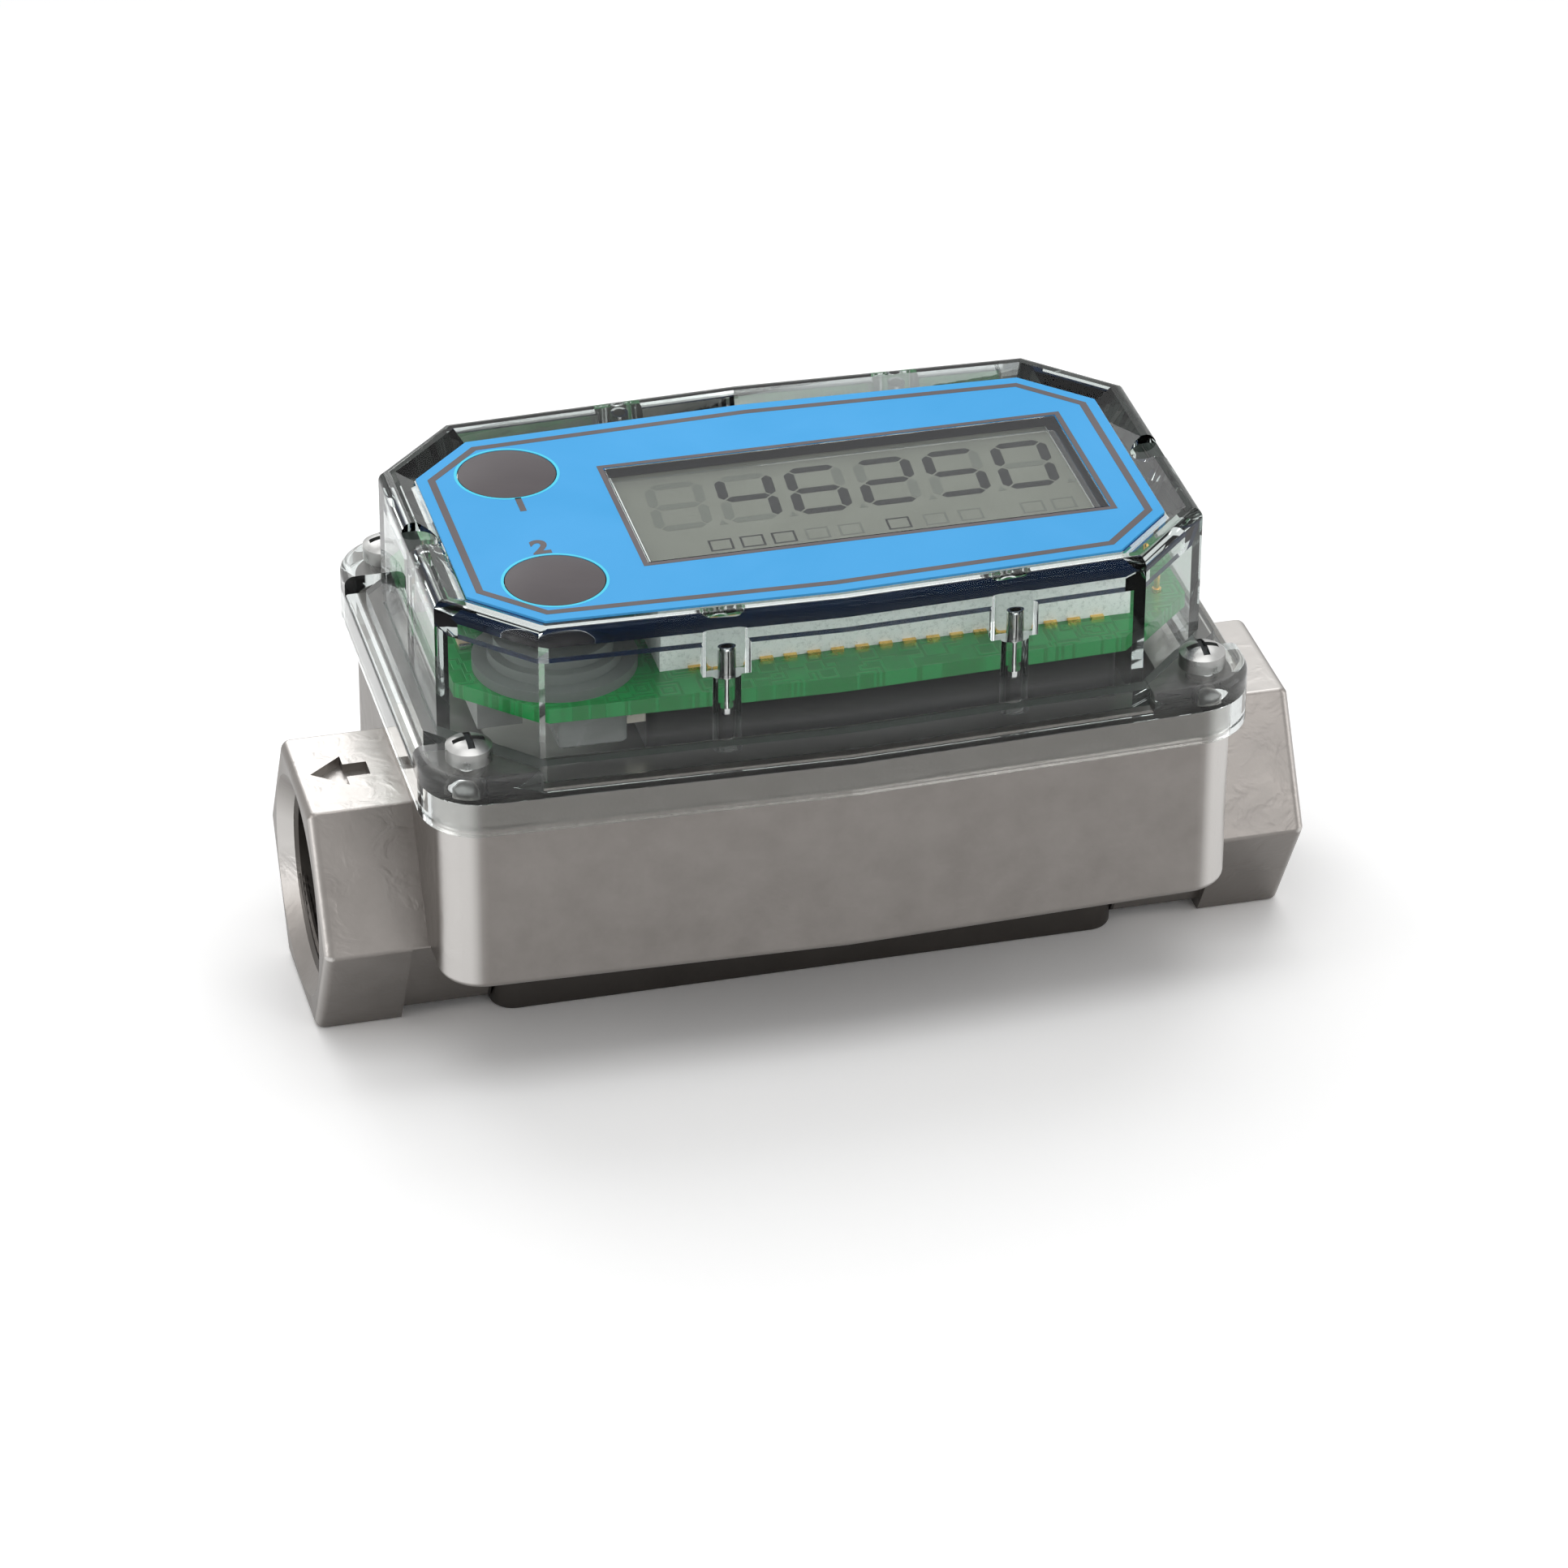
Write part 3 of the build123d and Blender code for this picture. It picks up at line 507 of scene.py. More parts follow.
@dataclass(frozen=True)
class CastMetal(Finish):
    """Bead-blasted cast stainless steel with a painted highlight on its upright corners, a painted lighter
    tone on its level tops and painted shade in the bore and on the foot.
    """

    dull: Colour
    bright: Colour
    painted_corner_highlight: Colour
    painted_shade_tone: Colour
    painted_top_light: Colour
    roughness: float = 0.36
    smoother: float = 0.05
    rougher: float = 0.06
    depth: float = 0.035

    def make(self) -> bpy.types.Material:
        """Makes the material.

        Returns:
            The material.
        """
        material, sheet, shader = self.start({"Metallic": 1.0})
        skin = Effects.place(sheet, "cast_skin")
        painted_light_masks = Effects.place(sheet, "painted_corner_light").outputs
        painted_shade_masks = Effects.place(sheet, "bore_shade").outputs
        mottle = skin.outputs["Mottle"]
        colour = sheet.blend(sheet.spread(mottle, *CLOUD_RANGE), self.dull, self.bright)
        # Painted light and shade: a painted highlight on the upright corners, a painted lighter tone on level
        # tops, and painted shade in the bore and on the foot.
        for mask, tone in (
            (painted_light_masks["Top"], self.painted_top_light),
            (painted_light_masks["Corner"], self.painted_corner_highlight),
            (painted_shade_masks["Foot"], self.painted_shade_tone),
            (painted_shade_masks["Bore"], self.painted_shade_tone),
        ):
            colour = sheet.blend(mask, colour, tone)
        sheet.feed(shader.inputs["Base Color"], colour)
        ends = (self.roughness - self.smoother, self.roughness + self.rougher)
        sheet.feed(shader.inputs["Roughness"], sheet.spread(mottle, *CLOUD_RANGE, *ends))
        self.raise_surface(sheet, shader, skin.outputs["Height"], self.depth)
        return material


@dataclass(frozen=True)
class BrightMetal(Finish):
    """Turned or drawn metal with fine lines, plated or buffed."""

    dull: Colour
    bright: Colour
    roughness: float = 0.2
    smoother: float = 0.8
    rougher: float = 1.3
    depth: float = 0.004

    def make(self) -> bpy.types.Material:
        """Makes the material.

        Returns:
            The material.
        """
        material, sheet, shader = self.start({"Metallic": 1.0})
        lines = Effects.place(sheet, "turned_lines").outputs
        share = sheet.spread(lines["Tone"], *CLOUD_RANGE)
        sheet.feed(shader.inputs["Base Color"], sheet.blend(share, self.dull, self.bright))
        ends = (self.roughness * self.smoother, self.roughness * self.rougher)
        sheet.feed(shader.inputs["Roughness"], sheet.spread(lines["Tone"], *CLOUD_RANGE, *ends))
        self.raise_surface(sheet, shader, lines["Height"], self.depth)
        return material


@dataclass(frozen=True)
class MouldedPlastic(Finish):
    """Opaque moulded plastic or rubber with a fine grain."""

    dull: Colour
    bright: Colour
    roughness: float = 0.4
    depth: float = 0.006
    gloss: float = 0.3
    refraction: float = 1.5
    smoother: float = 0.04
    rougher: float = 0.06

    def make(self) -> bpy.types.Material:
        """Makes the material.

        Returns:
            The material.
        """
        material, sheet, shader = self.start({"Specular IOR Level": self.gloss, "IOR": self.refraction})
        grain = Effects.place(sheet, "moulded_grain").outputs
        share = sheet.spread(grain["Tone"], *FLOW_RANGE)
        sheet.feed(shader.inputs["Base Color"], sheet.blend(share, self.dull, self.bright))
        ends = (self.roughness - self.smoother, self.roughness + self.rougher)
        sheet.feed(shader.inputs["Roughness"], sheet.spread(grain["Tone"], *CLOUD_RANGE, *ends))
        self.raise_surface(sheet, shader, grain["Height"], self.depth)
        return material


@dataclass(frozen=True)
class SpeckledPlastic(Finish):
    """Pale filled plastic with grey specks."""

    pale: Colour
    speck: Colour
    roughness: float = 0.45
    depth: float = 0.01

    def make(self) -> bpy.types.Material:
        """Makes the material.

        Returns:
            The material.
        """
        material, sheet, shader = self.start({"Roughness": self.roughness})
        specks = Effects.place(sheet, "speckle").outputs["Speck"]
        sheet.feed(shader.inputs["Base Color"], sheet.blend(specks, self.pale, self.speck))
        self.raise_surface(sheet, shader, specks, self.depth)
        return material


@dataclass(frozen=True)
class Laminate(Finish):
    """Lacquered circuit board with copper runs under the lacquer."""

    lacquer: Colour
    over_copper: Colour
    roughness: float = 0.3
    coat: float = 0.4
    coat_roughness: float = 0.12
    depth: float = 0.03

    def make(self) -> bpy.types.Material:
        """Makes the material.

        Returns:
            The material.
        """
        constants = {
            "Roughness": self.roughness,
            "Coat Weight": self.coat,
            "Coat Roughness": self.coat_roughness,
        }
        material, sheet, shader = self.start(constants)
        runs = Effects.place(sheet, "copper_runs").outputs["Run"]
        sheet.feed(shader.inputs["Base Color"], sheet.blend(runs, self.lacquer, self.over_copper))
        self.raise_surface(sheet, shader, runs, self.depth)
        return material


@dataclass(frozen=True)
class ClearPlastic(Finish):
    """Smoke-clear moulded plastic that lets lamps through to what is inside."""

    tint: Colour
    shade: Colour
    depth_colour: Colour
    density: float
    roughness: float = 0.004
    refraction: float = 1.50
    clearness: float = 1.0
    sheen: Colour = (0.16, 0.165, 0.17)
    film_weight: float = 1.0
    film_roughness: float = 0.6
    flow_scale: float = 90.0
    depth: float = 0.002

    def make(self) -> bpy.types.Material:
        """Makes the material.

        Returns:
            The material.
        """
        constants = {
            "Base Color": self.tint,
            "Roughness": self.roughness,
            "IOR": self.refraction,
            "Transmission Weight": self.clearness,
            "Specular Tint": self.sheen,
            "Coat Roughness": self.film_roughness,
        }
        material, sheet, shader = self.start(constants)
        haze = Effects.place(sheet, "flange_haze").outputs["Haze"]
        film = sheet.spread(haze, 0.0, 1.0, 0.0, self.film_weight)
        sheet.feed(shader.inputs["Coat Weight"], film)
        grain = Effects.place(sheet, "moulded_grain", flow_scale=self.flow_scale)
        self.raise_surface(sheet, shader, grain.outputs["Tone"], self.depth)
        light = sheet.add("ShaderNodeLightPath")
        passing = sheet.add("ShaderNodeBsdfTransparent", {"Color": self.shade})
        mix = sheet.add("ShaderNodeMixShader", {"Fac": light.outputs["Is Shadow Ray"]})
        sheet.feed(mix.inputs[1], shader.outputs["BSDF"])
        sheet.feed(mix.inputs[2], passing.outputs["BSDF"])
        output = next(node for node in sheet.tree.nodes if node.type == "OUTPUT_MATERIAL")
        sheet.feed(output.inputs["Surface"], mix.outputs["Shader"])
        if self.density:
            absorb = {"Color": self.depth_colour, "Density": self.density}
            volume = sheet.add("ShaderNodeVolumeAbsorption", absorb)
            sheet.feed(output.inputs["Volume"], volume.outputs["Volume"])
        return material


@dataclass(frozen=True)
class PrintedFilm(Finish):
    """Satin polyester film printed in one colour."""

    ink: Colour
    thin_ink: Colour
    roughness: float = 0.42
    refraction: float = 1.5
    gloss: float = 0.04
    grain_scale: float = 6000.0
    flow_scale: float = 60.0
    depth: float = 0.003

    def make(self) -> bpy.types.Material:
        """Makes the material.

        Returns:
            The material.
        """
        constants = {
            "Roughness": self.roughness,
            "Specular IOR Level": self.gloss,
            "IOR": self.refraction,
        }
        material, sheet, shader = self.start(constants)
        scales = {"grain_scale": self.grain_scale, "flow_scale": self.flow_scale}
        grain = Effects.place(sheet, "moulded_grain", **scales).outputs
        share = sheet.spread(grain["Tone"], *FLOW_RANGE)
        sheet.feed(shader.inputs["Base Color"], sheet.blend(share, self.ink, self.thin_ink))
        self.raise_surface(sheet, shader, grain["Height"], self.depth)
        return material


FINISHES: tuple[Finish, ...] = (
    # For cast_stainless, the third colour is a painted corner highlight, the fourth is painted shade for the
    # bore and foot, and the fifth is a painted lighter tone for level tops.
    CastMetal(
        "cast_stainless",
        (0.235, 0.218, 0.204),
        (0.275, 0.256, 0.241),
        (0.62, 0.60, 0.58),
        (0.10, 0.092, 0.085),
        (0.50, 0.48, 0.46),
    ),
    ClearPlastic("smoke_clear", (0.95, 0.96, 0.96), (0.99, 0.99, 0.99), (0.40, 0.50, 0.47), 60.0),
    BrightMetal("screw_steel", (0.36, 0.36, 0.352), (0.46, 0.46, 0.45), 0.3),
    MouldedPlastic("seal_rubber", (0.15, 0.165, 0.15), (0.18, 0.195, 0.18), 0.55),
    PrintedFilm("label_blue", seen_as(79, 170, 231), seen_as(86, 175, 236)),
    PrintedFilm("print_grey", seen_as(108, 103, 105), seen_as(116, 111, 113)),
    PrintedFilm("halo_cyan", seen_as(90, 215, 245), seen_as(100, 220, 248)),
    MouldedPlastic("button_grey", seen_as(84, 79, 81), seen_as(90, 85, 87), 0.45, 0.003, 0.15),
    ClearPlastic(
        "pad_silicone", (0.36, 0.39, 0.37), (0.5, 0.5, 0.5), (0.5, 0.5, 0.5), 0.0, 0.35, 1.3, 0.6
    ),
    MouldedPlastic("switch_black", (0.012, 0.012, 0.012), (0.022, 0.022, 0.022)),
    Laminate("board_green", seen_as(8, 120, 50), seen_as(16, 140, 66)),
    BrightMetal("pin_steel", (0.66, 0.66, 0.65), (0.82, 0.82, 0.81), 0.12),
    SpeckledPlastic("frame_white", (0.96, 0.99, 0.97), (0.64, 0.68, 0.66)),
    MouldedPlastic(
        "display_glass", seen_as(107, 109, 100), seen_as(112, 114, 105), 0.5, 0.001, 0.08, 1.1
    ),
    PrintedFilm("segment_dark", seen_as(6, 8, 12), seen_as(10, 12, 16), 0.6, 1.1),
    PrintedFilm("segment_ghost", seen_as(91, 94, 87), seen_as(95, 98, 91), 0.6, 1.1),
    BrightMetal("contact_gold", (0.78, 0.50, 0.12), (0.90, 0.64, 0.22), 0.25),
    MouldedPlastic("chip_black", (0.012, 0.012, 0.013), (0.02, 0.02, 0.021), 0.5),
    MouldedPlastic("box_black", (0.012, 0.0115, 0.011), (0.019, 0.018, 0.017), 0.4),
    BrightMetal("cell_steel", (0.6, 0.6, 0.58), (0.72, 0.72, 0.7), 0.3),
    BrightMetal("clip_steel", (0.58, 0.56, 0.5), (0.7, 0.67, 0.6), 0.3),
    MouldedPlastic("connector_grey", seen_as(150, 150, 148), seen_as(166, 166, 164)),
    MouldedPlastic("module_case", seen_as(120, 122, 120), seen_as(138, 140, 138), 0.25),
    MouldedPlastic("coil_case", (0.02, 0.02, 0.022), (0.03, 0.03, 0.033), 0.4),
    MouldedPlastic("rotor_plastic", (0.66, 0.65, 0.60), (0.72, 0.71, 0.66), 0.35),
    BrightMetal("magnet_plated", (0.5, 0.49, 0.46), (0.62, 0.61, 0.58), 0.25),
    BrightMetal("shaft_carbide", (0.32, 0.32, 0.34), (0.42, 0.42, 0.44), 0.15),
    MouldedPlastic("bearing_ceramic", (0.75, 0.74, 0.7), (0.82, 0.81, 0.77), 0.2),
    MouldedPlastic("support_plastic", (0.6, 0.59, 0.54), (0.66, 0.65, 0.6), 0.4),
    BrightMetal("ring_steel", (0.5, 0.49, 0.47), (0.62, 0.61, 0.59), 0.28),
    MouldedPlastic("part_tan", (0.42, 0.34, 0.22), (0.5, 0.41, 0.28), 0.4),
    MouldedPlastic("film_navy", (0.006, 0.045, 0.17), (0.008, 0.052, 0.19), 0.6),
    # Painted shade, laid in the screw recesses and on the display's edges.
    MouldedPlastic("painted_shade_black", (0.008, 0.009, 0.011), (0.012, 0.013, 0.015), 0.5),
)


class FinishBook:
    """Every finish of the meter, made once and handed out by name."""

    finishes: dict[str, Finish] = {finish.name: finish for finish in FINISHES}
    made: dict[str, bpy.types.Material] = {}

    @classmethod
    def take(cls, name: str) -> bpy.types.Material:
        """Hands out a finish's material.

        Args:
            name: Name of the finish.

        Returns:
            The material, made at its first use.
        """
        if name not in cls.made:
            cls.made[name] = cls.finishes[name].make()
        return cls.made[name]


# Mesh making


def dress_node(node: str, finish: str) -> None:
    """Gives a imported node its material.

    Args:
        node: Name of the node.
        finish: Name of the finish.
    """
    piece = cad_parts[node]
    material = FinishBook.take(finish)
    if not piece.material_slots:
        piece.data.materials.append(material)
    for slot in piece.material_slots:
        slot.material = material
    log.info("dressed %s in %s", node, finish)


def show(name: str, data: bpy.types.ID) -> bpy.types.Object:
    """Puts a mesh, text, lamp or camera into the scene.

    Args:
        name: Name of its object.
        data: What the object holds.

    Returns:
        The object.
    """
    piece = bpy.data.objects.new(name, data)
    bpy.context.scene.collection.objects.link(piece)
    return piece


def new_piece(
    name: str, mesh: bmesh.types.BMesh, finish: str, body: str = HOUSING
) -> bpy.types.Object:
    """Turns a finished mesh into a piece of the meter.

    Args:
        name: Name of the piece.
        mesh: The mesh in metres, which is freed.
        finish: Name of its finish.
        body: The body that it rides on.

    Returns:
        The piece.
    """
    bmesh.ops.recalc_face_normals(mesh, faces=mesh.faces)
    data = bpy.data.meshes.new(name)
    mesh.to_mesh(data)
    mesh.free()
    piece = show(name, data)
    data.materials.append(FinishBook.take(finish))
    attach(piece, body)
    log.info("built %s, %d faces", name, len(data.polygons))
    return piece


def round_pairs(ring: list) -> zip:
    """Pairs each item of a closed ring with the one after it."""
    return zip(ring, ring[1:] + ring[:1])


def add_ring(mesh: bmesh.types.BMesh, outline: list[Point], height: float) -> list[bmesh.types.BMVert]:
    """Adds the corners of an outline at a height, both in millimetres."""
    return [mesh.verts.new((x * MM, y * MM, height * MM)) for x, y in outline]


def join_rings(mesh: bmesh.types.BMesh, first: list, second: list) -> None:
    """Joins two closed rings of corners with faces."""
    for (start, after), (far_start, far_after) in zip(round_pairs(first), round_pairs(second)):
        mesh.faces.new((start, after, far_after, far_start))


def add_prism(mesh: bmesh.types.BMesh, outline: list[Point], low: float, high: float) -> None:
    """Adds an upright prism.

    Args:
        mesh: The mesh to add to.
        outline: Corners in millimetres, in order.
        low: Height of its underside in millimetres.
        high: Height of its top in millimetres.
    """
    lower = add_ring(mesh, outline, low)
    upper = add_ring(mesh, outline, high)
    mesh.faces.new(upper)
    mesh.faces.new(list(reversed(lower)))
    join_rings(mesh, lower, upper)


def add_band(
    mesh: bmesh.types.BMesh, outer: list[Point], inner: list[Point], low: float, high: float
) -> None:
    """Adds a flat closed band between two outlines with the same number of corners.

    Args:
        mesh: The mesh to add to.
        outer: Outer corners in millimetres.
        inner: Inner corners in millimetres, in the same order.
        low: Height of its underside in millimetres.
        high: Height of its top in millimetres.
    """
    edges = ((outer, high), (inner, high), (inner, low), (outer, low))
    rings = [add_ring(mesh, outline, height) for outline, height in edges]
    for ring, after in round_pairs(rings):
        join_rings(mesh, ring, after)


def circle_points(centre: Point, radius: float, count: int = 72) -> list[Point]:
    """Spaces points evenly round a circle.

    Args:
        centre: Centre in millimetres.
        radius: Radius in millimetres.
        count: Number of points.

    Returns:
        The points in millimetres.
    """
    turns = [2 * math.pi * index / count for index in range(count)]
    return [(centre[0] + radius * math.cos(turn), centre[1] + radius * math.sin(turn)) for turn in turns]


def ten_sided(length: float, width: float, bow: float, cut: float) -> list[Point]:
    """Lists the corners of a rectangle with cut corners and slightly pointed long sides.

    Args:
        length: Length along X in millimetres.
        width: Width along Y in millimetres, at the ends of its long sides.
        bow: How far the long sides stand out at the middle.
        cut: How much each corner takes off both ways.

    Returns:
        The corners in millimetres.
    """
    half_length = length / 2
    half_width = width / 2
    quarter = [(half_length, half_width - cut), (half_length - cut, half_width)]
    upper = [*quarter, (0.0, half_width + bow), *[(-x, y) for x, y in reversed(quarter)]]
    return [*upper, *[(-x, -y) for x, y in upper]]


def pointed_bar(start: float, end: float, half: float) -> list[Point]:
    """Lists the corners of a bar with pointed ends that lies along an axis.

    Args:
        start: Where it starts along the axis.
        end: Where it ends along the axis.
        half: Half its width.

    Returns:
        The corners, each as its places along and across the axis.
    """
    lower = [(start, 0.0), (start + half, -half), (end - half, -half)]
    return [*lower, (end, 0.0), (end - half, half), (start + half, half)]


# Sub-assemblies


class SubAssembly:
    """A group of the meter's pieces that are built and dressed together."""

    node_finishes: ClassVar[dict[str, str]] = {}

    def build(self) -> None:
        """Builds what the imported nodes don't have, where there is any."""

    def dress(self) -> None:
        """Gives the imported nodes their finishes."""
        for node, finish in self.node_finishes.items():
            dress_node(node, finish)


@dataclass
class Casting(SubAssembly):
    """Cast body with the threads of its two pipe ports."""

    node_finishes: ClassVar[dict[str, str]] = {"meter_body": "cast_stainless"}
    pipe_height: float = 12.7
    thread_radius: float = 9.4
    thread_start: float = 36.0
    thread_end: float = 48.6
    thread_pitch: float = 1.814
    ridge_height: float = 0.45
    ridge_least: float = 0.02
    ridge_foot: float = 0.62
    ridge_crest: float = 0.14
    ridge_sink: float = 0.08
    fade_per_turn: float = 2.0
    steps: int = 56

    def build(self) -> None:
        """Builds the thread ridges of both ports."""
        for port in Flow:
            self.build_thread(port)

    def build_thread(self, port: Flow) -> None:
        """Builds the helical ridge of one port.

        Args:
            port: The port that the ridge belongs to.
        """
        mesh = bmesh.new()
        turns = (self.thread_end - self.thread_start) / self.thread_pitch
        total = int(turns * self.steps)
        outer = self.thread_radius + self.ridge_sink
        last = None
        for index in range(total + 1):
            turn = 2 * math.pi * index / self.steps
            nearest_end = min(index, total - index) / self.steps
            fade = min(1.0, nearest_end * self.fade_per_turn)
            crest = self.thread_radius - self.ridge_height * max(fade, self.ridge_least)
            middle = self.thread_start + self.thread_pitch * index / self.steps
            ring = []
            for offset, radius in (
                (-self.ridge_foot, outer),
                (-self.ridge_crest, crest),
                (self.ridge_crest, crest),
                (self.ridge_foot, outer),
            ):
                x = port.value * (middle + offset)
                y = radius * math.cos(turn)
                z = self.pipe_height + radius * math.sin(turn)
                ring.append(mesh.verts.new((x * MM, y * MM, z * MM)))
            if last:
                join_rings(mesh, last, ring)
            else:
                mesh.faces.new(ring)
            last = ring
        mesh.faces.new(list(reversed(last)))
        new_piece(f"{port.name.lower()}_thread", mesh, "cast_stainless")


@dataclass
class Cover(SubAssembly):
    """Clear cover with its screws and seal."""

    node_finishes: ClassVar[dict[str, str]] = {
        "clear_cover": "smoke_clear",
        "cover_screws": "screw_steel",
        "cover_seal": "seal_rubber",
    }
    screw_x: float = 37.0
    screw_y: float = 20.3
    head_top: float = 39.9
    cross_length: float = 3.1
    cross_width: float = 0.62
    cross_top_depth: float = 0.5
    cross_floor_depth: float = 1.08

    def build(self) -> None:
        """Builds a dark sheet of painted shade in the lower part of each cross recess."""
        mesh = bmesh.new()
        reach = self.cross_length / 2
        half = self.cross_width / 2
        quarters = [[(reach, half), (half, half), (half, reach)]]
        for _ in range(3):
            quarters.append([(-y, x) for x, y in quarters[-1]])
        outline = [point for quarter in quarters for point in quarter]
        low = self.head_top - self.cross_floor_depth
        high = self.head_top - self.cross_top_depth
        for side_x in (1, -1):
            for side_y in (1, -1):
                moved = [(x + side_x * self.screw_x, y + side_y * self.screw_y) for x, y in outline]
                add_prism(mesh, moved, low, high)
        # Painted shade: a black sheet darkens the floor of each cross recess.
        new_piece("screw_recess_shade", mesh, "painted_shade_black")


@dataclass
class FaceLabel(SubAssembly):
    """Printed film on top of the cover, with its print and the rings round the buttons."""

    node_finishes: ClassVar[dict[str, str]] = {"face_label": "label_blue"}
    top: float = 50.65
    underside: float = 50.345
    back_thickness: float = 0.03
    film_length: float = 70.3
    film_width: float = 36.7
    film_bow: float = 1.1
    film_cut: float = 5.9
    print_thickness: float = 0.02
    border_length: float = 68.3
    border_width: float = 34.6
    border_bow: float = 1.05
    border_cut: float = 5.7
    border_line: float = 0.75
    window_length: float = 47.0
    window_width: float = 19.7
    window_x: float = 6.86
    window_line: float = 0.55
    button_x: float = -26.2
    button_y: float = 11.0
    hole_radius: float = 5.0
    hole_steps: int = 48
    halo_width: float = 0.28
    mark_size: float = 3.64
    mark_boldness: float = 0.14
    mark_y: float = 4.4
    mark_weld: float = 0.0001

    def build(self) -> None:
        """Builds the printed lines, the rings, the key marks and the film's back."""
        self.build_underside()
        outer = ten_sided(self.border_length, self.border_width, self.border_bow, self.border_cut)
        length = self.border_length - 2 * self.border_line
        width = self.border_width - 2 * self.border_line
        cut = self.border_cut - self.border_line * (2 - math.sqrt(2))
        inner = ten_sided(length, width, self.border_bow, cut)
        self.print_bands("label_border", "print_grey", [(outer, inner)])
        window = (self.window_corners(self.window_line), self.window_corners(0.0))
        self.print_bands("window_border", "print_grey", [window])
        rings = []
        for centre in self.button_centres():
            wide = circle_points(centre, self.hole_radius + self.halo_width)
            rings.append((wide, circle_points(centre, self.hole_radius)))
        self.print_bands("button_rings", "halo_cyan", rings)
        self.build_mark("1", self.mark_y)
        self.build_mark("2", -self.mark_y)

    def build_underside(self) -> None:
        """Builds the film's dark back, seen through the clear cover that it is bonded to."""
        outline = ten_sided(self.film_length, self.film_width, self.film_bow, self.film_cut)
        holes = [circle_points(centre, self.hole_radius, self.hole_steps) for centre in self.button_centres()]
        mesh = bmesh.new()
        loops = []
        for line in (outline, self.window_corners(0.0), *holes):
            ring = add_ring(mesh, line, self.underside - self.back_thickness)
            loops.extend(mesh.edges.new(pair) for pair in round_pairs(ring))
        bmesh.ops.triangle_fill(mesh, edges=loops, use_beauty=True)
        raised = bmesh.ops.extrude_face_region(mesh, geom=mesh.faces[:])
        moved = [part for part in raised["geom"] if isinstance(part, bmesh.types.BMVert)]
        bmesh.ops.translate(mesh, verts=moved, vec=(0.0, 0.0, self.back_thickness * MM))
        new_piece("label_back", mesh, "film_navy")

    def button_centres(self) -> list[Point]:
        """Lists the buttons' centres in millimetres, the upper one first."""
        return [(self.button_x, self.button_y), (self.button_x, -self.button_y)]

    def window_corners(self, grow: float) -> list[Point]:
        """Lists the window's corners, moved out by a distance.

        Args:
            grow: The distance in millimetres.

        Returns:
            The corners in millimetres.
        """
        half_x = self.window_length / 2 + grow
        half_y = self.window_width / 2 + grow
        signs = [(1, 1), (-1, 1), (-1, -1), (1, -1)]
        return [(self.window_x + x * half_x, y * half_y) for x, y in signs]

    def print_bands(self, name: str, finish: str, bands: list[tuple[list[Point], list[Point]]]) -> None:
        """Prints closed bands on the film as one piece.

        Args:
            name: Name of the piece.
            finish: Name of its finish.
            bands: Outer and inner corners of each band, in millimetres.
        """
        mesh = bmesh.new()
        for outer, inner in bands:
            add_band(mesh, outer, inner, self.top - PRINT_SINK, self.top + self.print_thickness)
        new_piece(name, mesh, finish)

    def build_mark(self, numeral: str, y: float) -> None:
        """Prints a plain numeral beside a button.

        Args:
            numeral: The numeral.
            y: Height of its middle on the label, in millimetres.
        """
        text = bpy.data.curves.new(f"mark_{numeral}", "FONT")
        text.body = numeral
        text.size = self.mark_size * MM
        text.align_x = "CENTER"
        text.align_y = "CENTER"
        text.extrude = self.print_thickness / 2 * MM
        text.offset = self.mark_boldness * MM
        holder = show(f"mark_{numeral}_line", text)
        bpy.context.view_layer.update()
        flat = bpy.data.meshes.new_from_object(holder.evaluated_get(bpy.context.evaluated_depsgraph_get()))
        bpy.data.objects.remove(holder)
        middle = Vector((self.button_x, y, self.top + self.print_thickness / 2))
        flat.transform(Matrix.Translation(middle * MM))
        mesh = bmesh.new()
        mesh.from_mesh(flat)
        bpy.data.meshes.remove(flat)
        bmesh.ops.remove_doubles(mesh, verts=mesh.verts, dist=self.mark_weld * MM)
        new_piece(f"key_mark_{numeral}", mesh, "print_grey")


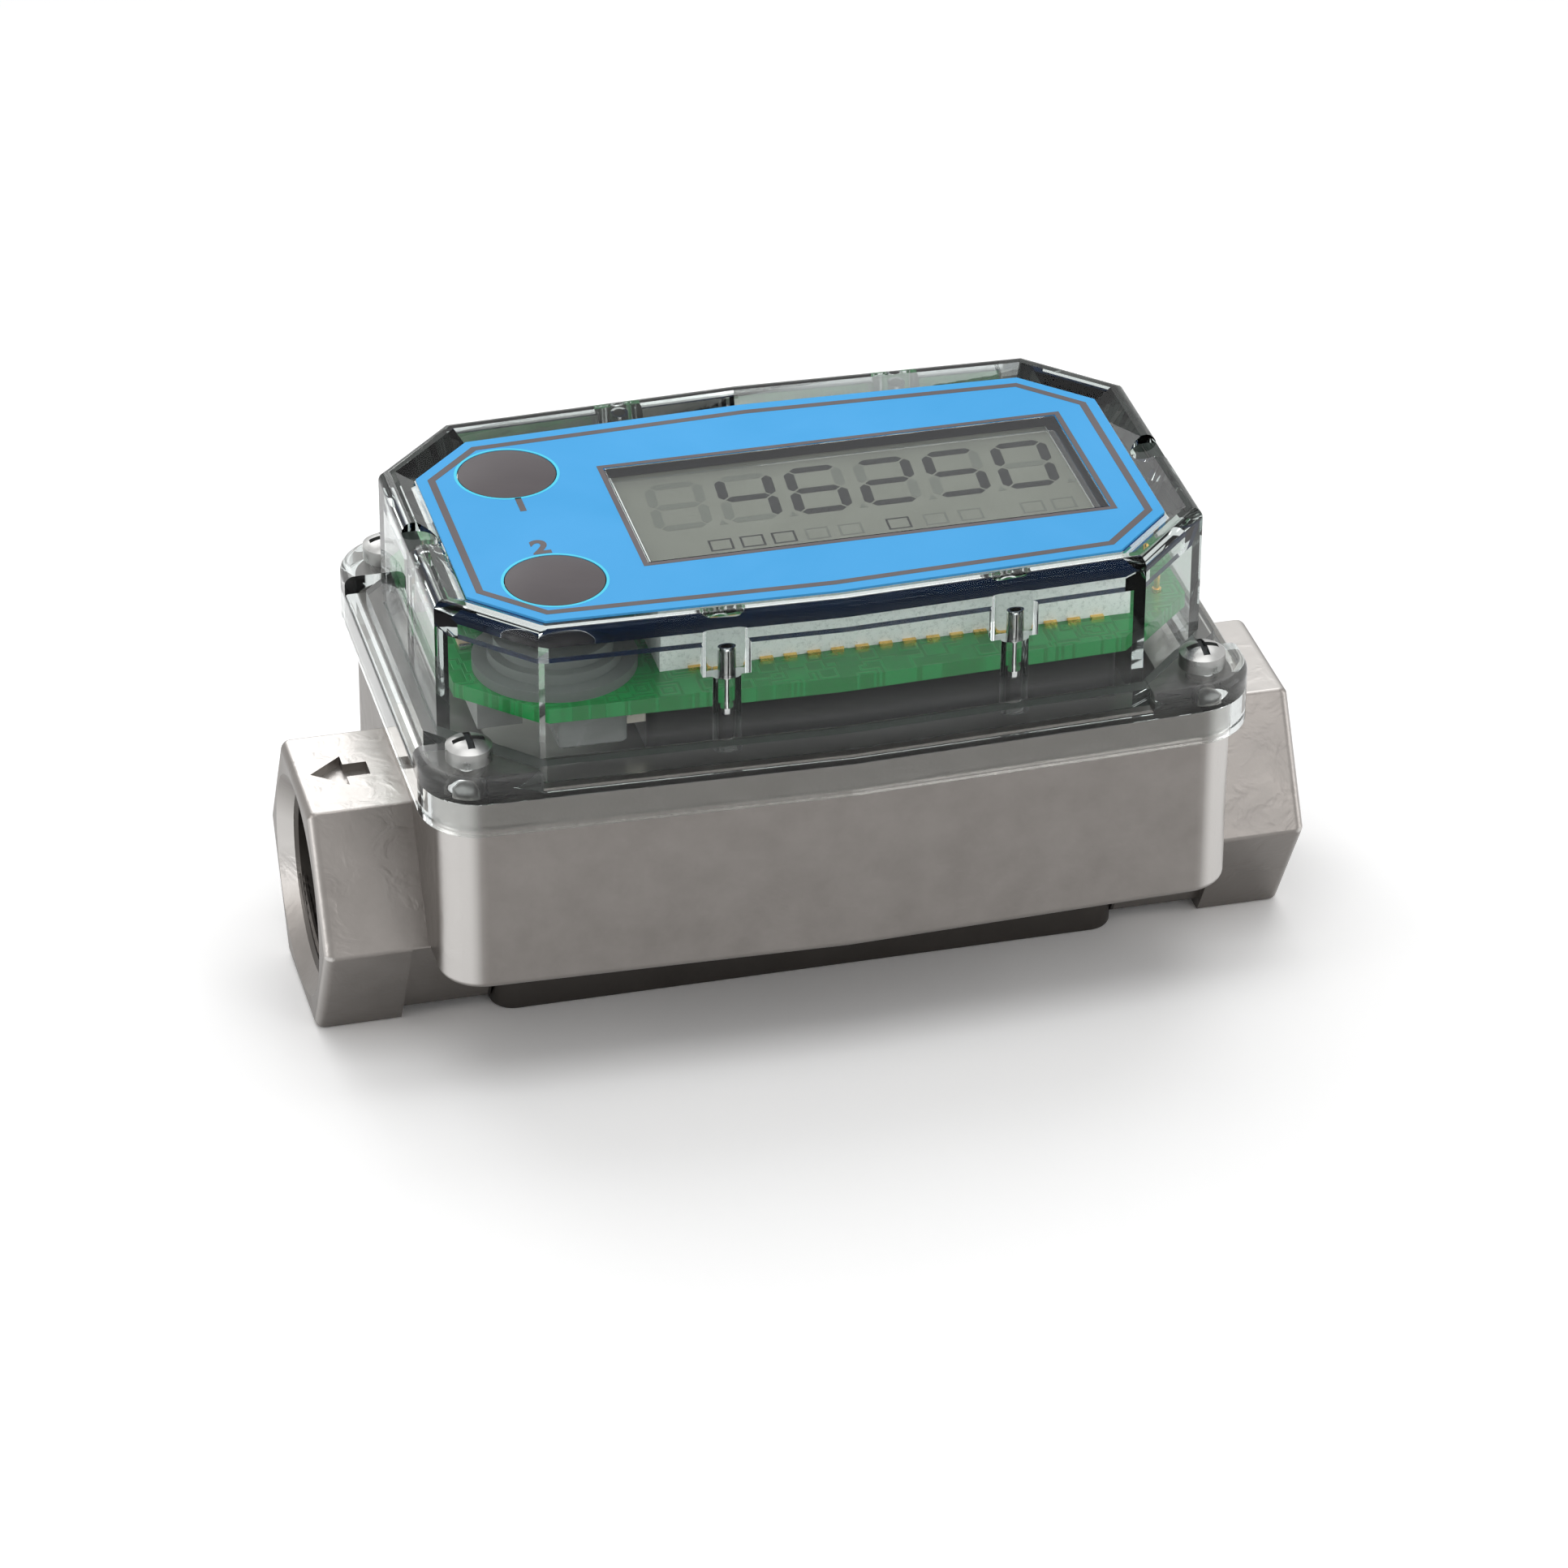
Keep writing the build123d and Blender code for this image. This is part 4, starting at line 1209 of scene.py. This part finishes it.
@dataclass
class Display(SubAssembly):
    """Liquid-crystal display: frame, glass, contacts and the digits in the glass."""

    node_finishes: ClassVar[dict[str, str]] = {
        "display_frame": "frame_white",
        "display_glass": "display_glass",
        "display_contacts": "contact_gold",
    }
    glass_top: float = 47.8
    film_thickness: float = 0.02
    digits: str = " 46250"
    first_x: float = -13.9
    pitch: float = 7.16
    bottom_y: float = -1.6
    digit_width: float = 5.9
    digit_height: float = 9.4
    bar_width: float = 1.05
    bar_gap: float = 0.16
    slant: float = 0.09
    point_gap: float = 0.55
    point_size: float = 0.9
    boxes_y: float = -6.6
    box_outer: tuple[Point, ...] = ((0.0, 0.0), (2.4, 0.0), (2.5, 2.2), (0.1, 2.2))
    box_inner: tuple[Point, ...] = ((0.22, 0.2), (2.18, 0.2), (2.28, 2.0), (0.32, 2.0))
    dark_boxes: tuple[float, ...] = (-9.5, -6.3, -3.1, 8.6)
    faint_boxes: tuple[float, ...] = (0.3, 3.7, 12.4, 16.0, 22.4, 25.6)
    # Painted shade: a black sheet at these places darkens the display's edges under the label.
    shade_sheet_left: float = -16.6
    shade_sheet_right: float = 31.2
    shade_sheet_rear: float = 14.8
    clear_right: float = 29.5
    clear_rear: float = 10.2
    clear_front: float = -12.2
    shade_sheet_bottom: float = 47.91
    shade_sheet_thickness: float = 0.06

    def build(self) -> None:
        """Builds the dark bars, the faint bars, the small marks below them and a black sheet of painted
        shade.
        """
        dark = bmesh.new()
        faint = bmesh.new()
        for index, digit in enumerate(self.digits):
            lit = DIGIT_BARS[digit]
            self.place_bars(dark, index, lit)
            self.place_bars(faint, index, "".join(bar for bar in DIGIT_BARS["8"] if bar not in lit))
            self.place_point(faint, index)
        self.place_boxes(faint, self.faint_boxes)
        marks = bmesh.new()
        self.place_boxes(marks, self.dark_boxes)
        new_piece("display_digits", dark, "segment_dark")
        new_piece("display_faint_bars", faint, "segment_ghost")
        new_piece("display_marks", marks, "segment_dark")
        self.build_edge_shade()

    def levels(self) -> tuple[float, float]:
        """Gives the underside and the top of the bars and marks, in millimetres."""
        return self.glass_top - PRINT_SINK, self.glass_top + self.film_thickness

    def bar_outline(self, bar: str) -> list[Point]:
        """Lists the corners of one bar of a digit, before it slants.

        Args:
            bar: The bar's letter, as in Segment.

        Returns:
            The corners in millimetres from the digit's lower left corner.
        """
        segment = Segment(bar)
        half = self.bar_width / 2
        gap = self.bar_gap
        right = self.digit_width - half
        middle = self.digit_height / 2
        high = self.digit_height - half
        level = {Segment.TOP: high, Segment.MIDDLE: middle, Segment.BOTTOM: half}
        if segment in level:
            bars = pointed_bar(half + gap, right - gap, half)
            return [(along, level[segment] + across) for along, across in bars]
        x = half if segment in (Segment.UPPER_LEFT, Segment.LOWER_LEFT) else right
        upper = segment in (Segment.UPPER_LEFT, Segment.UPPER_RIGHT)
        start, end = (middle, high) if upper else (half, middle)
        return [(x - across, along) for along, across in pointed_bar(start + gap, end - gap, half)]

    def place_bars(self, mesh: bmesh.types.BMesh, index: int, bars: str) -> None:
        """Adds bars of one digit in its place.

        Args:
            mesh: The mesh to add to.
            index: Place of the digit, from the left.
            bars: Letters of the bars.
        """
        left = self.first_x + index * self.pitch
        for bar in bars:
            corners = self.bar_outline(bar)
            outline = [(left + x + self.slant * y, self.bottom_y + y) for x, y in corners]
            add_prism(mesh, outline, *self.levels())

    def place_point(self, mesh: bmesh.types.BMesh, index: int) -> None:
        """Adds the point after one digit.

        Args:
            mesh: The mesh to add to.
            index: Place of the digit, from the left.
        """
        x = self.first_x + index * self.pitch + self.digit_width + self.point_gap
        y = self.bottom_y
        size = self.point_size
        add_prism(mesh, [(x, y), (x + size, y), (x + size / 2, y + size)], *self.levels())

    def place_boxes(self, mesh: bmesh.types.BMesh, places: tuple[float, ...]) -> None:
        """Adds small open boxes, which mark the unit in use.

        Args:
            mesh: The mesh to add to.
            places: Left edges of the boxes in millimetres.
        """
        for x in places:
            outer = [(x + dx, self.boxes_y + dy) for dx, dy in self.box_outer]
            inner = [(x + dx, self.boxes_y + dy) for dx, dy in self.box_inner]
            add_band(mesh, outer, inner, *self.levels())

    def build_edge_shade(self) -> None:
        """Builds a black sheet of painted shade on the rear, right and front edges of the display, under the
        label's edges.
        """
        corners = [
            (self.shade_sheet_left, self.shade_sheet_rear),
            (self.shade_sheet_left, self.clear_rear),
            (self.clear_right, self.clear_rear),
            (self.clear_right, self.clear_front),
            (self.shade_sheet_left, self.clear_front),
            (self.shade_sheet_left, -self.shade_sheet_rear),
            (self.shade_sheet_right, -self.shade_sheet_rear),
            (self.shade_sheet_right, self.shade_sheet_rear),
        ]
        mesh = bmesh.new()
        add_prism(mesh, corners, self.shade_sheet_bottom, self.shade_sheet_bottom + self.shade_sheet_thickness)
        new_piece("display_edge_shade", mesh, "painted_shade_black")


@dataclass
class Keys(SubAssembly):
    """Two push buttons with their silicone pads and switches."""

    node_finishes: ClassVar[dict[str, str]] = {
        "upper_button": "button_grey",
        "upper_button_pad": "pad_silicone",
        "lower_button": "button_grey",
        "lower_button_pad": "pad_silicone",
        "button_switches": "switch_black",
    }


@dataclass
class Electronics(SubAssembly):
    """Circuit board with its pins, chip, cells, connector, module and small parts."""

    node_finishes: ClassVar[dict[str, str]] = {
        "circuit_board": "board_green",
        "board_pins": "pin_steel",
        "processor_chip": "chip_black",
        "test_pin": "contact_gold",
        "battery_box": "box_black",
        "battery_cells": "cell_steel",
        "battery_clip": "clip_steel",
        "pickup_connector": "connector_grey",
        "signal_module": "module_case",
        "pickup_coil": "coil_case",
    }
    board_top: float = 41.9
    part_sink: float = 0.02
    middle_share: float = 0.62
    middle_height: float = 0.5
    end_height: float = 0.46
    part_edge: float = 0.06
    small_parts: tuple[tuple[float, float, float, float], ...] = (
        (-33.6, 6.5, 1.0, 2.0),
        (-33.6, 2.6, 1.0, 2.0),
        (-33.8, -5.4, 1.2, 2.4),
        (33.2, 6.8, 1.2, 2.4),
        (33.2, 2.4, 1.0, 2.0),
        (33.0, -4.2, 1.0, 2.0),
        (-19.0, 17.6, 2.0, 1.0),
        (-14.8, 17.6, 2.0, 1.0),
        (22.5, 17.4, 2.4, 1.2),
    )

    def build(self) -> None:
        """Builds the small surface parts of the board, each with two tinned ends."""
        middles = bmesh.new()
        ends = bmesh.new()
        for x, y, length, width in self.small_parts:
            reach = max(length, width) / 2
            half = min(length, width) / 2
            neck = reach * self.middle_share
            for mesh, start, end, height in (
                (middles, -neck, neck, self.middle_height),
                (ends, -reach, -neck, self.end_height),
                (ends, neck, reach, self.end_height),
            ):
                corners = [(start, -half), (end, -half), (end, half), (start, half)]
                if length <= width:
                    corners = [(-half, start), (half, start), (half, end), (-half, end)]
                outline = [(x + dx, y + dy) for dx, dy in corners]
                add_prism(mesh, outline, self.board_top - self.part_sink, self.board_top + height)
        for mesh, name, finish in (
            (middles, "small_parts", "part_tan"),
            (ends, "small_part_ends", "cell_steel"),
        ):
            edge = self.part_edge * MM
            bmesh.ops.bevel(mesh, geom=mesh.edges[:], offset=edge, segments=2, affect="EDGES")
            new_piece(name, mesh, finish)


@dataclass
class Turbine(SubAssembly):
    """Rotor with its magnets and shaft, and the supports, bearings and rings that hold it."""

    node_finishes: ClassVar[dict[str, str]] = {
        "rotor": "rotor_plastic",
        "rotor_magnets": "magnet_plated",
        "rotor_shaft": "shaft_carbide",
        "inlet_support": "support_plastic",
        "inlet_bearing": "bearing_ceramic",
        "inlet_ring": "ring_steel",
        "outlet_support": "support_plastic",
        "outlet_bearing": "bearing_ceramic",
        "outlet_ring": "ring_steel",
    }


# Studio


def grey(level: float) -> Colour:
    """Gives the neutral colour of a level."""
    return level, level, level


def facing(azimuth: float, elevation: float) -> Vector:
    """Gives the direction from the meter towards a lamp or the camera.

    Args:
        azimuth: Degrees round from the front, towards the inlet.
        elevation: Degrees above the floor.

    Returns:
        The direction, of length 1.
    """
    turn = math.radians(azimuth)
    rise = math.radians(elevation)
    return Vector((math.sin(turn) * math.cos(rise), -math.cos(turn) * math.cos(rise), math.sin(rise)))


@dataclass(frozen=True)
class SoftBox:
    """A soft rectangular lamp that faces a point on the meter, with its distance and sizes in metres."""

    name: str
    azimuth: float
    elevation: float
    distance: float
    width: float
    height: float
    brightness: float

    def hang(self, aim: Vector) -> None:
        """Hangs the lamp.

        Args:
            aim: The point that it faces, in metres.
        """
        towards = facing(self.azimuth, self.elevation)
        lamp = bpy.data.lights.new(self.name, "AREA")
        lamp.shape = "RECTANGLE"
        lamp.size = self.width
        lamp.size_y = self.height
        lamp.energy = self.brightness * math.pi * self.width * self.height
        holder = show(self.name, lamp)
        holder.location = aim + towards * self.distance
        holder.rotation_mode = "QUATERNION"
        holder.rotation_quaternion = towards.to_track_quat("Z", "Y")
        log.info("hung %s", self.name)


@dataclass
class Studio:
    """White floor, white surroundings, soft lamps and the camera.

    The camera's offsets and distance are millimetres, and the floor's sizes are metres.
    """

    focal_pixels: float = 8159.3
    sensor_width: float = 36.0
    azimuth: float = -14.502
    elevation: float = 31.482
    roll: float = 0.277
    offset_right: float = 0.385
    offset_up: float = 11.023
    distance: float = 667.448
    look_height: float = 30.0
    clip_near: float = 10.0
    clip_far: float = 30000.0
    floor_side: float = 8.0
    floor_thickness: float = 0.02
    floor_roughness: float = 0.9
    fill: float = 0.36
    floor_seen: float = 1.15
    floor_mirrored: float = 0.98
    shadow_reach: float = 0.13
    plain_from: float = 0.26
    floor_bounce: float = 0.34
    boxes: tuple[SoftBox, ...] = (
        SoftBox("back_box", 174.0, 57.0, 1.1, 1.3, 0.62, 1.6),
        SoftBox("overhead_box", -8.0, 76.0, 1.1, 1.0, 0.6, 1.75),
        SoftBox("left_box", -82.0, 14.0, 0.8, 0.4, 0.5, 2.2),
        SoftBox("right_box", 78.0, 14.0, 0.8, 0.4, 0.5, 2.2),
        SoftBox("front_right_box", 24.0, 28.0, 0.42, 0.12, 0.12, 2.7),
        SoftBox("left_back_box", 200.0, 31.0, 0.19, 0.09, 0.07, 2.6),
    )

    def build(self) -> None:
        """Builds the camera, the floor, the surroundings and the lamps."""
        self.place_camera()
        self.lay_floor()
        self.light_surroundings()
        for box in self.boxes:
            box.hang(Vector((0.0, 0.0, self.look_height * MM)))

    def place_camera(self) -> None:
        """Places the camera at the photograph's viewing angle."""
        turn = math.radians(self.azimuth)
        twist = math.radians(self.roll)
        back = facing(self.azimuth, self.elevation)
        level = Vector((math.cos(turn), math.sin(turn), 0.0))
        upright = back.cross(level)
        right = math.cos(twist) * level + math.sin(twist) * upright
        up = -math.sin(twist) * level + math.cos(twist) * upright
        look = Vector((0.0, 0.0, self.look_height))
        eye = look - self.offset_right * right - self.offset_up * up + self.distance * back
        data = bpy.data.cameras.new("photo_camera")
        data.sensor_width = self.sensor_width
        data.lens = self.focal_pixels / PHOTO_SIDE * self.sensor_width
        data.clip_start = self.clip_near * MM
        data.clip_end = self.clip_far * MM
        camera = show("photo_camera", data)
        axes = Matrix((right, up, back)).transposed().to_4x4()
        camera.matrix_world = Matrix.Translation(eye * MM) @ axes
        bpy.context.scene.camera = camera
        log.info("placed the camera")

    def seen_directly(self, light: bpy.types.Node, sheet: NodeSheet) -> Socket:
        """Tells rays that see a surface, straight on or in metal and glass, from those that light others.

        Args:
            light: The Light Path node.
            sheet: The sheet of the floor or the surroundings.

        Returns:
            1 for a ray that sees, and 0 for one that lights.
        """
        rays = light.outputs
        first = sheet.maths("MAXIMUM", rays["Is Camera Ray"], rays["Is Glossy Ray"])
        return sheet.maths("MAXIMUM", first, rays["Is Transmission Ray"])

    def floor_material(self) -> bpy.types.Material:
        """Makes the floor's material, which keeps the meter's shadow near it and is plain white beyond.

        Returns:
            The material.
        """
        material = bpy.data.materials.new("white_floor")
        material.use_nodes = True
        sheet = NodeSheet(material.node_tree)
        shader = next(node for node in sheet.tree.nodes if node.type == "BSDF_PRINCIPLED")
        shader.inputs["Roughness"].default_value = self.floor_roughness
        shader.inputs["Specular IOR Level"].default_value = 0.0
        shader.inputs["Emission Strength"].default_value = 1.0
        light = sheet.add("ShaderNodeLightPath")
        camera_ray = light.outputs["Is Camera Ray"]
        seen = self.seen_directly(light, sheet)
        mirrored = sheet.blend(seen, grey(self.floor_bounce), grey(self.floor_mirrored))
        tone = sheet.blend(camera_ray, mirrored, grey(self.floor_seen))
        away = sheet.length_of(sheet.object_place())
        far = sheet.spread(away, self.shadow_reach, self.plain_from)
        plain = sheet.maths("MULTIPLY", far, camera_ray)
        sheet.feed(shader.inputs["Emission Color"], sheet.blend(plain, grey(0.0), grey(1.0)))
        sheet.feed(shader.inputs["Base Color"], sheet.blend(plain, tone, grey(0.0)))
        return material

    def lay_floor(self) -> None:
        """Lays the floor."""
        half = self.floor_side / 2 / MM
        mesh = bmesh.new()
        outline = [(-half, -half), (half, -half), (half, half), (-half, half)]
        add_prism(mesh, outline, -self.floor_thickness / MM, 0.0)
        data = bpy.data.meshes.new("studio_floor")
        mesh.to_mesh(data)
        mesh.free()
        data.materials.append(self.floor_material())
        floor = show("studio_floor", data)

    def light_surroundings(self) -> None:
        """Makes the surroundings white where they are seen and softer where they light the meter."""
        world = bpy.data.worlds.new("studio_air")
        world.use_nodes = True
        bpy.context.scene.world = world
        sheet = NodeSheet(world.node_tree)
        background = next(node for node in sheet.tree.nodes if node.type == "BACKGROUND")
        sheet.feed(background.inputs["Color"], grey(1.0))
        seen = self.seen_directly(sheet.add("ShaderNodeLightPath"), sheet)
        sheet.feed(background.inputs["Strength"], sheet.spread(seen, 0.0, 1.0, self.fill, 1.0))


def main() -> None:
    """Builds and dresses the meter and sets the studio."""
    logging.basicConfig(level=logging.INFO, format="%(name)s: %(message)s")
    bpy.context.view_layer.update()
    bpy.context.scene.view_settings.view_transform = "Standard"
    Studio().build()
    for part in (Casting(), Cover(), FaceLabel(), Display(), Keys(), Electronics(), Turbine()):
        part.build()
        part.dress()


if __name__ == "__main__":
    main()
